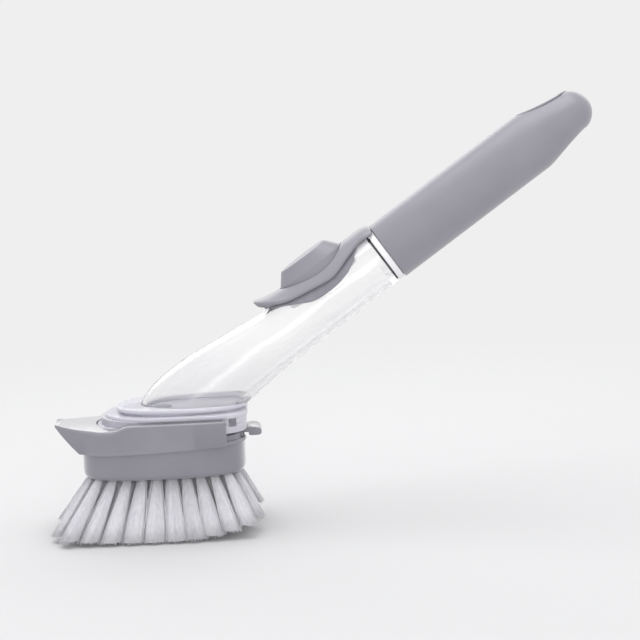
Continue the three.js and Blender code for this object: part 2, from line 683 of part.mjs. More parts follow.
// Soft disc that bulges down in the middle, with a slit that opens under pressure
function outletValve() {
  const top = VALVE_SEAT_DEPTH - SEAT_GAP;
  const rim = VALVE_SEAT_RADIUS - SLIDE_GAP;
  const bottom = top - VALVE_SHEET;
  const disc = turnUpright(
    [
      [0, bottom - VALVE_DOME_RADIUS / 2],
      [VALVE_DOME_RADIUS * 0.6, bottom - VALVE_DOME_RADIUS * 0.4],
      [VALVE_DOME_RADIUS, bottom],
      [rim, bottom],
      [rim, top],
      [VALVE_DOME_RADIUS, top],
      [VALVE_DOME_RADIUS * 0.5, top - VALVE_DOME_RADIUS * 0.4],
      [0, top - VALVE_DOME_RADIUS / 2],
    ],
    OUTLET_X,
    PLINTH_Z,
    SMALL_ROUND,
  );
  const slit = new THREE.BoxGeometry(VALVE_DOME_RADIUS, VALVE_SLIT, 4 * VALVE_DOME_RADIUS);
  return disc.subtract(solid(slit.translate(OUTLET_X, 0, PLINTH_Z + top)));
}

function valveRetainer() {
  const top = VALVE_SEAT_DEPTH - 2 * SEAT_GAP - VALVE_SHEET;
  const bottom = top - RETAINER_THICKNESS;
  const rim = VALVE_SEAT_RADIUS - SEAT_GAP;
  const hole = VALVE_DOME_RADIUS + 2 * SEAT_GAP;
  return turnUpright(sleeve(hole, rim, bottom, top), OUTLET_X, PLINTH_Z);
}

// Brush head

const partingZ = (x) => PARTING_Z + PARTING_SLOPE * x;

function headPlan(inset, count = ROUND) {
  return oval(HEAD_CENTRE_X, HEAD_HALF_LENGTH - inset, HEAD_HALF_WIDTH - inset, HEAD_SQUARENESS, count);
}

// Plan of the scraper nose, from the head's widest line to the straight edge
function nosePlan() {
  const reach = (share) => THREE.MathUtils.lerp(NOSE_TIP_X, HEAD_CENTRE_X, share);
  const side = new THREE.CubicBezierCurve(
    new THREE.Vector2(NOSE_TIP_X + NOSE_EDGE, NOSE_TIP_HALF_WIDTH),
    new THREE.Vector2(reach(0.34), NOSE_CHEEK * HEAD_HALF_WIDTH),
    new THREE.Vector2(reach(0.6), HEAD_HALF_WIDTH),
    new THREE.Vector2(HEAD_CENTRE_X, HEAD_HALF_WIDTH),
  );
  const points = side.getPoints(NOSE_STEPS).map((p) => [p.x, p.y]);
  return mirrored([[NOSE_TIP_X, NOSE_TIP_HALF_WIDTH - NOSE_EDGE], ...points]);
}

// Side of the shoe and its nose, over the slanted parting line
function shoeSide() {
  const front = HEAD_CENTRE_X - HEAD_HALF_LENGTH;
  const rear = HEAD_CENTRE_X + HEAD_HALF_LENGTH;
  const rampFoot = RAIL_FRONT_X - RAMP_LENGTH;
  const rampMiddle = (RAIL_FRONT_X + rampFoot) / 2;
  const side = new THREE.Shape();
  side.moveTo(front, partingZ(front));
  side.lineTo(rear, partingZ(rear));
  side.lineTo(rear, SHOE_FLOOR_Z);
  side.lineTo(RAIL_REAR_X, SHOE_FLOOR_Z);
  side.lineTo(RAIL_REAR_X, RIM_Z);
  side.lineTo(RAIL_FRONT_X, RIM_Z);
  side.bezierCurveTo(rampMiddle, RIM_Z, rampMiddle, NOSE_DIP_Z, rampFoot, NOSE_DIP_Z);
  side.quadraticCurveTo((RAIL_FRONT_X + NOSE_TIP_X) / 2, NOSE_DIP_Z - OVERCUT, NOSE_TIP_X, NOSE_TIP_Z);
  side.lineTo(NOSE_TIP_X, NOSE_TIP_Z - NOSE_EDGE);
  side.quadraticCurveTo(front - PROW_REACH, partingZ(front) + PROW_RISE, front, partingZ(front));
  return side;
}

function headShoe() {
  const rear = HEAD_CENTRE_X + HEAD_HALF_LENGTH;
  const low = PARTING_Z - HEAD_HALF_LENGTH;
  const wide = HEAD_HALF_WIDTH + OVERCUT;
  const plan = raise(headPlan(0), low, 2 * RIM_Z).add(raise(nosePlan(), low, 2 * RIM_Z));
  const pocketWidth = HEAD_HALF_WIDTH - SHOE_WALL;
  const pocketFront = PLINTH_FRONT_X - SLIDE_GAP;
  const pocket = roundedPlan(pocketFront, 2 * rear, pocketWidth, PLINTH_CORNER);
  const throat = roundedPlan(pocketFront, 2 * rear, pocketWidth - RAIL_DEPTH, PLINTH_CORNER);
  const slotHeight = 2 * (SHOE_FLOOR_Z - low);
  const slot = new THREE.BoxGeometry(2 * rear, 2 * (TAB_HALF_WIDTH + SEAT_GAP), slotHeight);
  return across(shoeSide(), wide)
    .intersect(plan)
    .subtract(raise(pocket, SHOE_FLOOR_Z, RIM_Z - RAIL_HEIGHT))
    .subtract(raise(throat, SHOE_FLOOR_Z, 2 * RIM_Z))
    .subtract(raise(headPlan(SHOE_WALL), low, SHOE_FLOOR_Z - SHOE_FLOOR))
    .subtract(solid(slot.translate(TAB_ROOT_X - SEAT_GAP + rear, 0, low)))
    .subtract(drainThrough(SHOE_FLOOR_Z));
}

function releaseTab() {
  const top = SHOE_FLOOR_Z - SEAT_GAP;
  const bottom = top - TAB_THICKNESS;
  const lip = TAB_END_X - TAB_LIP_LENGTH;
  const crown = top + TAB_LIP_RISE;
  const heel = bottom - TAB_LIP_DROP;
  const side = new THREE.Shape();
  side.moveTo(TAB_ROOT_X, bottom);
  side.lineTo(lip, bottom);
  side.quadraticCurveTo(lip, heel, lip + TAB_EDGE, heel);
  side.lineTo(TAB_END_X - 2 * TAB_EDGE, heel);
  side.quadraticCurveTo(TAB_END_X, heel, TAB_END_X, (heel + crown) / 2);
  side.quadraticCurveTo(TAB_END_X, crown, TAB_END_X - 2 * TAB_EDGE, crown);
  side.lineTo(lip + TAB_EDGE, crown);
  side.lineTo(lip, top);
  side.lineTo(CATCH_X + CATCH_LENGTH, top);
  side.lineTo(CATCH_X + CATCH_LENGTH / 2, top + CATCH_HEIGHT);
  side.lineTo(CATCH_X, top + CATCH_HEIGHT);
  side.lineTo(CATCH_X, top);
  side.lineTo(TAB_ROOT_X, top);
  return across(side, TAB_HALF_WIDTH);
}

// Bristles

// Rooted middles of the tufts: rows along X, every other row out from the middle stepped by half a pitch
function tuftRows() {
  return Array.from({ length: ROWS }, (_, row) => {
    const y = (row - (ROWS - 1) / 2) * ROW_PITCH;
    const share = (1 - Math.abs(y / FIELD_HALF_WIDTH) ** HEAD_SQUARENESS) ** (1 / HEAD_SQUARENESS);
    const room = FIELD_HALF_LENGTH * share;
    const half = Math.floor(Math.abs(y) / ROW_PITCH) % 2 === 0 ? 0.5 : 0;
    const most = Math.floor(room / TUFT_PITCH - half);
    const tufts = [];
    for (let k = half === 0 ? -most : -most - 1; k <= most; k += 1) {
      const x = HEAD_CENTRE_X + (k + half) * TUFT_PITCH;
      const clearOfOutlet = Math.hypot(x - OUTLET_X, y) > OUTLET_RADIUS + TUFT_HOLE_RADIUS;
      if (clearOfOutlet) tufts.push({ x, y });
    }
    return tufts;
  });
}

// Sideways run of a tuft per unit of drop
function fan({ x, y }) {
  const along = (x - HEAD_CENTRE_X) / FIELD_HALF_LENGTH;
  return { x: along * (along < 0 ? FAN_FRONT : FAN_REAR), y: (y / FIELD_HALF_WIDTH) * FAN_SIDE };
}

// Height of the trimmed tips, rising towards the edge and cut flat in the middle to stand on
function trimZ({ x, y }) {
  const along = (x - HEAD_CENTRE_X) / FIELD_HALF_LENGTH;
  const rise = (along < 0 ? TRIM_FRONT : TRIM_REAR) * along ** 2;
  return Math.max(0, rise + TRIM_SIDE * (y / FIELD_HALF_WIDTH) ** 2 - STAND_CUT);
}

function strand(root, run, tipZ, spin) {
  const top = CARRIER_Z + CARRIER_THICKNESS / 2;
  const drop = CARRIER_Z - tipZ;
  const tip = new THREE.Vector3(root.x + run.x * drop, root.y + run.y * drop, tipZ);
  const rise = top - CARRIER_Z;
  const start = new THREE.Vector3(root.x - run.x * rise, root.y - run.y * rise, top);
  const corners = (centre, radius) =>
    [0, 1, 2].map((i) => {
      const angle = spin + (2 * Math.PI * i) / 3;
      const offset = new THREE.Vector3(radius * Math.cos(angle), radius * Math.sin(angle), 0);
      return offset.add(centre);
    });
  return [corners(tip, STRAND_TIP_RADIUS), corners(start, STRAND_RADIUS)];
}

// One three-sided strand as a closed prism
function prism([low, high]) {
  const geometry = new THREE.BufferGeometry().setFromPoints([...low, ...high]);
  const index = [0, 2, 1, 3, 4, 5];
  for (let i = 0; i < 3; i += 1) {
    const j = (i + 1) % 3;
    index.push(i, j, i + 3, j, j + 3, i + 3);
  }
  geometry.setIndex(index);
  return solid(geometry);
}

// The strands of a tuft, turned a little differently from tuft to tuft and mirrored across Y = 0
function tuftStrands(tuft) {
  const lean = fan(tuft);
  const spin = Math.sign(tuft.y) * tuft.x;
  return Array.from({ length: STRANDS_PER_TUFT }, (_, i) => {
    const ringed = i > 0;
    const angle = (2 * Math.PI * (i - 1)) / (STRANDS_PER_TUFT - 1) + spin;
    const away = ringed ? { x: Math.cos(angle), y: Math.sin(angle) } : { x: 0, y: 0 };
    const root = { x: tuft.x + TUFT_RADIUS * away.x, y: tuft.y + TUFT_RADIUS * away.y };
    const run = { x: lean.x + TUFT_SPLAY * away.x, y: lean.y + TUFT_SPLAY * away.y };
    return prism(strand(root, run, trimZ(tuft), angle));
  });
}

// A carrier plate inside the block with the strands of its rows
function bristles(rows, lowY, highY) {
  const plan = headPlan(BLOCK_INSET + BLOCK_WALL + SEAT_GAP);
  const band = new THREE.BoxGeometry(4 * HEAD_HALF_LENGTH, highY - lowY - SEAT_GAP, CARRIER_THICKNESS);
  const middleZ = CARRIER_Z + CARRIER_THICKNESS / 2;
  const slice = solid(band.translate(HEAD_CENTRE_X, (lowY + highY) / 2, middleZ));
  const plate = raise(plan, 0, 2 * CARRIER_Z).intersect(slice).subtract(drainThrough(CARRIER_Z));
  return wasm.Manifold.union([plate, ...rows.flat().flatMap(tuftStrands)]);
}

function bristleBlock(rows) {
  const levels = [0, 0.12, 0.4, 1].map((share) => ({
    z: BLOCK_BOTTOM_Z + BLOCK_FILLET * share,
    inset: BLOCK_INSET + (BLOCK_FILLET / 2) * (1 - share) ** 2,
  }));
  levels.push({ z: RIM_Z, inset: BLOCK_INSET });
  const skin = loft(
    levels.map(({ z, inset }) =>
      flatRing(HEAD_CENTRE_X, z, HEAD_HALF_LENGTH - inset, HEAD_HALF_WIDTH - inset, HEAD_SQUARENESS),
    ),
  );
  const hollow = raise(headPlan(BLOCK_INSET + BLOCK_WALL), BLOCK_BOTTOM_Z + BLOCK_FLOOR, 2 * RIM_Z);
  const far = 2 * HEAD_HALF_LENGTH;
  const above = across(
    polygon([
      [-far, partingZ(-far) - SEAT_GAP],
      [far, partingZ(far) - SEAT_GAP],
      [far, 2 * RIM_Z],
      [-far, 2 * RIM_Z],
    ]),
    far,
  );
  const holes = rows.flat().map((tuft) => {
    const lean = fan(tuft);
    const at = (z) => {
      const drop = CARRIER_Z - z;
      const level = flatRing(tuft.x + lean.x * drop, z, TUFT_HOLE_RADIUS, TUFT_HOLE_RADIUS, 2, HOLE_SIDES);
      return level.map((p) => p.setY(p.y + tuft.y + lean.y * drop));
    };
    return loft([at(BLOCK_BOTTOM_Z - OVERCUT), at(CARRIER_Z + OVERCUT)]);
  });
  const rear = HEAD_CENTRE_X + HEAD_HALF_LENGTH;
  const roomZ = partingZ(rear) - TAB_ROOM;
  const room = new THREE.BoxGeometry(far, 2 * (TAB_HALF_WIDTH + SLIDE_GAP), far);
  return skin
    .subtract(hollow)
    .subtract(above)
    .subtract(drainThrough(BLOCK_BOTTOM_Z))
    .subtract(solid(room.translate(HEAD_CENTRE_X + far / 2, 0, roomZ + far / 2)))
    .subtract(wasm.Manifold.union(holes));
}

// Assembly
const handleLine = new THREE.Group();
handleLine.position.set(MOUTH_X, 0, MOUTH_Z);
handleLine.rotation.y = -HANDLE_ANGLE;
handleLine.add(
  piece("handle_grip", handleGrip(), plastic(GREY, 0.5)),
  piece("handle_collar", handleCollar(), clear()),
  piece("mouth_seal", mouthSeal(), plastic(0x5c5b63, 0.7)),
  piece("button_bezel", buttonBezel(), plastic(GREY, 0.45)),
  piece("button_cap", buttonCap(), plastic(0x9f9da6, 0.45)),
  piece("pump_diaphragm", pumpDiaphragm(), plastic(0x85838c, 0.7)),
);

const rows = tuftRows();
const outerBand = ((ROWS - 1) / 2 - 0.5) * ROW_PITCH;
const carriers = [
  ["bristles_right_outer", rows.slice(0, 1), -HEAD_HALF_WIDTH, -outerBand],
  ["bristles_right_inner", rows.slice(1, ROWS / 2), -outerBand, 0],
  ["bristles_left_inner", rows.slice(ROWS / 2, ROWS - 1), 0, outerBand],
  ["bristles_left_outer", rows.slice(ROWS - 1), outerBand, HEAD_HALF_WIDTH],
];
const whole = new THREE.Group();
whole.add(
  handleLine,
  piece("reservoir_tube", reservoirTube(), clear()),
  piece("base_plate", basePlate(), clear()),
  piece("outlet_valve", outletValve(), plastic(0xd8d7dc, 0.6)),
  piece("valve_retainer", valveRetainer(), plastic(0xdedde2, 0.35)),
  piece("head_shoe", headShoe(), plastic(0x918f99, 0.45)),
  piece("release_tab", releaseTab(), plastic(0x94939a, 0.45)),
  piece("bristle_block", bristleBlock(rows), plastic(0x908e97, 0.45)),
  ...carriers.map(([name, own, low, high]) =>
    piece(name, bristles(own, low, high), plastic(0xdfdee4, 0.5)),
  ),
);

const brush = new THREE.Group();
whole.position.x = -new THREE.Box3().setFromObject(whole, true).getCenter(new THREE.Vector3()).x;
brush.add(whole);

export default brush;
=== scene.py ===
"""Soap-dispensing pot brush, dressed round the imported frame: satin grey plastic, a clear reservoir
and a head of pale nylon tufts. Sizes are millimetres in the layout of the solids, and every mesh is
written in metres in the row frame."""
import contextlib
import math

import bmesh
import bpy
import numpy as np
from mathutils import Matrix, Vector

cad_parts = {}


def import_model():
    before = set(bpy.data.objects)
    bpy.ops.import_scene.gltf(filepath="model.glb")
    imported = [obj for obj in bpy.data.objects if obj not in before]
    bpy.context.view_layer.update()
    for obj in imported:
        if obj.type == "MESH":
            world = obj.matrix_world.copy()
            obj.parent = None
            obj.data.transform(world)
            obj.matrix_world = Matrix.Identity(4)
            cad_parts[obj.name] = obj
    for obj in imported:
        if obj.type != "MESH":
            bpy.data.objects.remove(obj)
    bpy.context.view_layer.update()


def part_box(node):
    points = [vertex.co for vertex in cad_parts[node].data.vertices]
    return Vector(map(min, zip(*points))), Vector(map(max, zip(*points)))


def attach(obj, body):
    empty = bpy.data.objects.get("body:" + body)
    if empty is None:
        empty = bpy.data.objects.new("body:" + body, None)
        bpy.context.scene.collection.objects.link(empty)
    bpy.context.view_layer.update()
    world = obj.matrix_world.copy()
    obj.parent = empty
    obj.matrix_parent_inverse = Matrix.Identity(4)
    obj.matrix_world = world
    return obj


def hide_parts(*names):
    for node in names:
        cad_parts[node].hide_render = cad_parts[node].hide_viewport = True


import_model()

MM = 0.001
OUTLET_X = 4.0
_low, _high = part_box("valve_retainer")
SHIFT = (_low.x + _high.x) / 2 / MM - OUTLET_X
SEAT_GAP, SLIDE_GAP = 0.3, 0.35
FAR, OVERCUT = 90.0, 1.0  # beyond every piece, and how far a cutter passes through
MARGIN, GROOVE_END = 0.05, 1.0  # room round a choice of faces, and before the rails' rear ends

# Handle: u runs along its line from the mouth, v is square to it
HANDLE_ANGLE = math.radians(35)
MOUTH_X, MOUTH_Z = 106.5, 120.0
COS_A, SIN_A = math.cos(HANDLE_ANGLE), math.sin(HANDLE_ANGLE)
GRIP_RADIUS, GRIP_LENGTH, GRIP_RIM, GRIP_START = 13.7, 110.4, 0.6, 4.0
TAPER_LENGTH, TAPER_POWER = 31.0, 1.2
TAIL_HALF_HEIGHT, TAIL_HALF_WIDTH, TAIL_ROUND = 9.6, 11.8, 9.0
HOLE_LENGTH, HOLE_WIDTH, HOLE_MARGIN, HOLE_ROUND = 24.0, 11.0, 5.5, 0.7
HOLE_FLARE, HOLE_OVER, HOLE_REACH = 0.6, 1.5, 22.0  # the cutter past the grip's skin
NECK_RADIUS, NECK_LENGTH, NECK_WALL = 10.2, 16.5, 2.0
SOCKET_CENTRE, SOCKET_MOUTH = 0.5, ((0.4, 0.0), (0.08, 0.2))  # (depth, widening) at the mouth
SEAL_THICKNESS, SEAL_EDGE = 0.8, 0.22
COLLAR_BAND, COLLAR_INSET, COLLAR_WALL, COLLAR_EDGE = 2.5, 0.3, 1.6, 0.25
COLLAR_FLOOR, COLLAR_HEADROOM, COLLAR_CENTRE = 2.0, 1.2, 0.02
SEAL_U = -COLLAR_BAND - 2 * SEAT_GAP - SEAL_THICKNESS
SHOULDER_U = SEAL_U - SEAT_GAP
COLLAR_DEPTH = SHOULDER_U + NECK_LENGTH + COLLAR_HEADROOM + COLLAR_FLOOR
THREAD_LEAD, THREAD_STARTS, THREAD_TURNS, THREAD_START_U, THREAD_FADE = 8.5, 2, 1.5, 0.8, 8
THREAD_SECTION = ((-0.2, -0.75), (0.28, -0.25), (0.28, 0.25), (-0.2, 0.75))  # (rise, along)

# Reservoir
TUBE_RADIUS, TUBE_WALL, TUBE_STRAIGHT, SHOULDER_WALL = 13.05, 2.2, 57.8, 2.5
TUBE_DROP = GRIP_RADIUS - TUBE_RADIUS
FOOT_FRONT_X, FOOT_REAR_X, FOOT_HALF_WIDTH, HEEL_WALL = -6.0, 43.6, 17.5, 4.4
FOOT_LIP_FRONT, FOOT_LIP_REAR_X, FOOT_LIP_HALF_WIDTH, FOOT_LIP_THICKNESS = 10.4, 42.0, 20.5, 1.8
FOOT_SQUARENESS, FOOT_LIP_EDGE = 2.5, 0.8
BELLY, INSTEP, HEEL_ANGLE = np.array((-2, 0, 3.3)), np.array((7, 0, 14)), math.radians(42)  # the foot's sweep
STRAIGHT_END_U = SHOULDER_U - TUBE_STRAIGHT
FADE_Z, FADE_X = 84.0, (-17.0, 4.0)  # the spans over which the painted shade of the tube's foot and of the plinth's groove fades
CLOUD_U, CLOUD_V = -11.6, 7.2  # start of the cloudy end of the tube under the bezel

# Button, bezel and diaphragm
BUTTON_U, BUTTON_HALF_LENGTH, BUTTON_HALF_WIDTH, BUTTON_EGG = -31.0, 16.6, 10.0, 0.16
BUTTON_TOP_HALF_LENGTH, BUTTON_TOP_HALF_WIDTH = 11.4, 6.4
BUTTON_TOP_V, BUTTON_SHOULDER_V, BUTTON_DEPTH, BUTTON_WALL = 21.4, 15.6, 12.6, 1.6
BUTTON_DRAFT, BUTTON_FOOT_EDGE, BUTTON_EDGE, BUTTON_TOP_GROW, BUTTON_FOOT = 0.6, 0.2, 0.5, 0.4, 0.5
BUTTON_CEILING, BUTTON_FLATS = (2.0, 1.0), ((6.0, 3.2), (1.0, 0.5))  # (half length, half width)
LUG_REACH = 1.4
DIAPHRAGM_SHEET, DIAPHRAGM_RIM, DIAPHRAGM_HALF_WIDTH, DIAPHRAGM_TONGUE = 0.9, 3.2, 13.6, 5.0
BEZEL_THICKNESS, BEZEL_HALF_WIDTH, BEZEL_NECK_HALF_WIDTH = 1.8, 12.8, 9.5
BEZEL_CORNER, BEZEL_ROLL, BEZEL_EDGE = 1.6, 5.0, 0.45
VISOR_REACH, VISOR_RISE, VISOR_EDGE, VISOR_HALF_WIDTH = 30.0, 3.1, 1.4, 8.6
VISOR_THICKNESS, VISOR_UNDERCUT, LEAST_EDGE = 2.6, 3.2, 0.05
RIM_INNER = TUBE_RADIUS + SEAT_GAP
RIM_OUTER = RIM_INNER + DIAPHRAGM_SHEET
BEZEL_INNER = RIM_OUTER + SEAT_GAP
BEZEL_OUTER = BEZEL_INNER + BEZEL_THICKNESS
CUP_HALF_LENGTH = BUTTON_HALF_LENGTH + LUG_REACH + SLIDE_GAP + DIAPHRAGM_SHEET
CUP_HALF_WIDTH = BUTTON_HALF_WIDTH + SLIDE_GAP + DIAPHRAGM_SHEET
CUP_ROOM, CUP_TOP_V, CUP_OVERLAP = 3.1, 11.5, 0.2
CUP_EDGE = ((0.0, -1.2), (0.35, -0.35), (1.2, 0.0))  # (rise, growth) round the cup's lower edge
CUP_FLOOR_V = BUTTON_TOP_V - BUTTON_DEPTH - CUP_ROOM
CUTTER_LOW_V, CUTTER_HIGH_V = 2, 40

# Base plate and outlet
RIM_Z, SHOE_FLOOR_Z, SHOE_FLOOR, SHOE_WALL = 51.5, 45.2, 2.0, 2.5
BASE_LIP_FRONT_X, BASE_LIP_REAR_X, BASE_LIP_HALF_WIDTH, BASE_LIP_THICKNESS = -21.7, 41.6, 22.4, 2.1
WELD_STEP, WELD_INSET = 1.0, 2.2
PLINTH_FRONT_X, PLINTH_REAR_X, PLINTH_HALF_WIDTH = -25.6, 41.0, 23.2
PLINTH_FLANGE, PLINTH_CORNER = 3.7, 13.0
BASE_LIP_EDGE, GROOVE_EDGE, FLANGE_EDGE = 0.95, 0.2, 0.7
BASE_OVERLAP, GROOVE_OVERLAP = 0.5, 0.6
BASE_LIP_Z = RIM_Z + SLIDE_GAP
WELD_Z = BASE_LIP_Z + BASE_LIP_THICKNESS
FOOT_Z = WELD_Z + WELD_STEP
FOOT_TOP_Z = FOOT_Z + FOOT_LIP_THICKNESS
PLINTH_Z = SHOE_FLOOR_Z + SEAT_GAP
OUTLET_RADIUS, VALVE_SEAT_RADIUS, VALVE_SEAT_DEPTH = 4.4, 10.6, 5.4
VALVE_SHEET, VALVE_DOME_RADIUS, VALVE_EDGE, VALVE_THINNING = 1.1, 3.6, 0.2, 0.9
VALVE_SHARES = (0.01, 0.3, 0.55, 0.8, 1.0)
RETAINER_THICKNESS, RETAINER_EDGE = 2.6, 0.4
WINDOW_X, WINDOW_Z, NOTCH_TOP_Z = (33.1, 36.5), (48.3, 51.8), 47.9

# Brush head
HEAD_CENTRE_X, HEAD_HALF_LENGTH, HEAD_HALF_WIDTH, HEAD_SQUARENESS = 3.8, 36.6, 26.0, 3.2
HEAD_FRONT_X, HEAD_REAR_X = HEAD_CENTRE_X - HEAD_HALF_LENGTH, HEAD_CENTRE_X + HEAD_HALF_LENGTH
REAR_SQUARENESS, HEAD_LOW_Z, HEAD_HIGH_Z = 5.5, 20.0, 2 * RIM_Z
RAIL_DEPTH, RAIL_HEIGHT, RAIL_FRONT_X, RAIL_REAR_X, RAMP_LENGTH = 1.6, 2.0, -7.5, 32.0, 12.5
RAIL_END_ROUND, REAR_RECESS, REAR_SLOT, HEAD_BEVEL = 2.2, 1.2, 1.0, 0.35
NOSE_TIP_X, NOSE_TIP_Z, NOSE_TIP_HALF_WIDTH = -43.8, 50.2, 8.0
NOSE_EDGE, NOSE_DIP_Z, NOSE_CHEEK, NOSE_CROWN = 1.0, 48.0, 0.85, 1.5
NOSE_BULGE, NOSE_UNDER = (0.34, 0.6), (6, 5)  # shares of the nose, and the bend below it
EDGE_ROUND_X = (-42.0, -38.0, -32.0, -26.0, -20.0, -14.0, -8.0)  # places along the shoe's upper edge
EDGE_ROUND = (0.35, 0.8, 1.3, 2.0, 2.4, 1.9, 1.1)  # and its radius there
EDGE_OVER, EDGE_LAP = 2.0, 0.02
BEAD = ((0.5, 1.3), (-0.05, 1.15), (-0.45, 0.1), (-0.4, -0.3), (0.5, -0.3))  # (inset, rise)
PARTING_Z, PARTING_SLOPE, PARTING_GAP = 39.4, 0.034, 0.03
GROOVE_HALF_WIDTH = HEAD_HALF_WIDTH - SHOE_WALL - RAIL_DEPTH - SLIDE_GAP
TAB_ROOT_X, TAB_END_X, TAB_HALF_WIDTH, TAB_THICKNESS, TAB_EDGE = 13.0, 47.5, 7.0, 1.9, 1.0
TAB_LIP_RISE, TAB_LIP_DROP, TAB_LIP_LENGTH, TAB_CORNER = 0.3, 1.5, 5.9, 3.0
CATCH_X, CATCH_LENGTH, CATCH_HEIGHT, TAB_ROOM = 33.6, 4.0, 2.4, 0.9
BLOCK_INSET, BLOCK_BOTTOM_Z, BLOCK_WALL, BLOCK_FLOOR, BLOCK_TOP_Z = 0.6, 27.0, 2.0, 2.2, 46.0
BLOCK_FILLET, FILLET_RISE = 3.4, 0.8
CARRIER_Z = BLOCK_BOTTOM_Z + BLOCK_FLOOR + SEAT_GAP

# Tufts
ROWS, ROW_PITCH, TUFT_PITCH, TUFT_HOLE_RADIUS, TUFT_MARGIN = 6, 6.1, 6.0, 1.95, 0.3
TUFT_ROOM = 2.18  # radius that a tuft's hole keeps free
FIELD_INSET = BLOCK_INSET + BLOCK_WALL + TUFT_ROOM + TUFT_MARGIN
FIELD_HALF_LENGTH = HEAD_HALF_LENGTH - FIELD_INSET
FIELD_HALF_WIDTH = HEAD_HALF_WIDTH - FIELD_INSET
FAN_FRONT, FAN_REAR, FAN_SIDE = 0.68, 0.47, 0.58
TRIM_FRONT, TRIM_REAR, TRIM_SIDE, STAND_CUT = 2.6, 7.0, 1.0, 0.5
TUFT_RADIUS, TUFT_SPLAY, TUFT_ROOT = 1.6, np.array((0.155, 0.15)), 0.4  # splay along and across the rows
CORE_FILL, CORE_SHORT, CORE_FLUTE, CORE_PLACES = 0.86, 0.9, 0.07, (0.0, 0.4, 0.75, 1.0)
OUTWARD_SPLAY = 0.45
FILAMENT_RADIUS, FILAMENT_STRAY, FILAMENT_BOW, FILAMENT_TIP = (0.12, 0.16), 0.012, (-0.2, 0.45), 0.8
FILAMENT_PLACES = (0.0, 0.3, 0.65, 1.0)
TIP_UNEVEN, SHORT_SHARE, SHORT_TIMES = 0.4, 0.12, 2.2
TUFT_SEED = 7

# Stage, light and camera, in metres and degrees
BACKGROUND, SEEN_THROUGH, MIRRORED = 0.863, 1.0, 0.95
AMBIENT = np.array((0.93, 0.93, 0.93 * 1.02))
FLOOR_ALBEDO, FLOOR_HALF_SIZE, FLOOR_Z, FLOOR_FADE = 0.64, 3.0, -0.0004, (0.16, 0.6)
CAMERA_AZIMUTH, CAMERA_ELEVATION, CAMERA_ROLL = -2.0, 8.0, 2.3
CAMERA_DISTANCE, CAMERA_CLIP, TARGET_X, TARGET_Z = 0.85, (0.01, 20), 75.5, 0.0907
PIXELS_PER_MM, PICTURE_SIZE, SENSOR_WIDTH = 2.25, 640, 36.0


# Meshes

def add(name, data):
    obj = bpy.data.objects.new(name, data)
    bpy.context.scene.collection.objects.link(obj)
    return obj


@contextlib.contextmanager
def editing(obj):
    """The object's mesh, open for editing."""
    bm = bmesh.new()
    bm.from_mesh(obj.data)
    yield bm
    bm.to_mesh(obj.data)
    bm.free()


def handle_points(points):
    """Points of the handle line, (u, y, v), in the layout frame."""
    u, y, v = np.asarray(points, float).T
    return np.stack([MOUTH_X + u * COS_A - v * SIN_A, y, MOUTH_Z + u * SIN_A + v * COS_A], 1)


def handle_point(u, v):
    return handle_points([(u, 0, v)])[0]


def plain(name, points, faces):
    """A mesh object from layout points in millimetres."""
    mesh = bpy.data.meshes.new(name)
    mesh.from_pydata(((points + np.array([SHIFT, 0, 0])) * MM).tolist(), [], faces)
    return add(name, mesh)


def make(name, verts, faces, handle=False):
    """A mesh object with its faces turned outwards."""
    obj = plain(name, handle_points(verts) if handle else np.array(verts, float), faces)
    with editing(obj) as bm:
        bmesh.ops.recalc_face_normals(bm, faces=bm.faces)
    return obj


def loft(rings, round_trip=False):
    """Skin over rings of points, closed by flat ends, or joined last to first."""
    count = len(rings[0])
    verts = np.concatenate([np.asarray(r, float) for r in rings])
    faces = []
    for r in range(len(rings) if round_trip else len(rings) - 1):
        a, b = r * count, ((r + 1) % len(rings)) * count
        faces += [(a + i, a + (i + 1) % count, b + (i + 1) % count, b + i) for i in range(count)]
    if not round_trip:
        last = (len(rings) - 1) * count
        faces += [tuple(range(count))[::-1], tuple(range(last, last + count))]
    return verts, faces


def skin(name, rings, handle=False):
    return make(name, *loft(rings), handle)


def gather(parts):
    """The points and faces of many parts as one."""
    verts, faces, offset = [], [], 0
    for points, own in parts:
        verts.append(points)
        faces += [tuple(i + offset for i in face) for face in own]
        offset += len(points)
    return np.concatenate(verts), faces


def lerp(a, b, t):
    return a + (b - a) * t


def smooth(t):
    return t * t * (3 - 2 * t)


def unit(rows):
    return rows / np.linalg.norm(rows, axis=1)[:, None]


def around(count):
    return np.linspace(0, 2 * math.pi, count, endpoint=False)


def superellipse(exponent, count):
    a = around(count)
    c, s = np.cos(a), np.sin(a)
    return np.sign(c) * np.abs(c) ** (2 / exponent), np.sign(s) * np.abs(s) ** (2 / exponent)


def flat_ring(x, z, half_length, half_width, exponent=2.0, count=128):
    a, b = superellipse(exponent, count)
    return np.stack([x + half_length * a, half_width * b, np.full(count, z)], 1)


def cross_ring(u, v, half_height, half_width, count=128):
    a = around(count)
    return np.stack([np.full(count, u), half_width * np.cos(a), v + half_height * np.sin(a)], 1)


def revolve_handle(name, profile, count=128):
    """A closed profile of (radius, u) turned about the handle line."""
    r, u = np.asarray(profile, float).T
    rings = [np.stack([u, r * math.cos(a), r * math.sin(a)], 1) for a in around(count)]
    return make(name, *loft(rings, round_trip=True), handle=True)


def revolve_outlet(name, profile, count=96):
    """A closed profile of (radius, height) turned about the outlet, from the plinth's foot up."""
    r, z = np.asarray(profile, float).T
    rings = [
        np.stack([OUTLET_X + r * math.cos(a), r * math.sin(a), PLINTH_Z + z], 1) for a in around(count)
    ]
    return make(name, *loft(rings, round_trip=True))


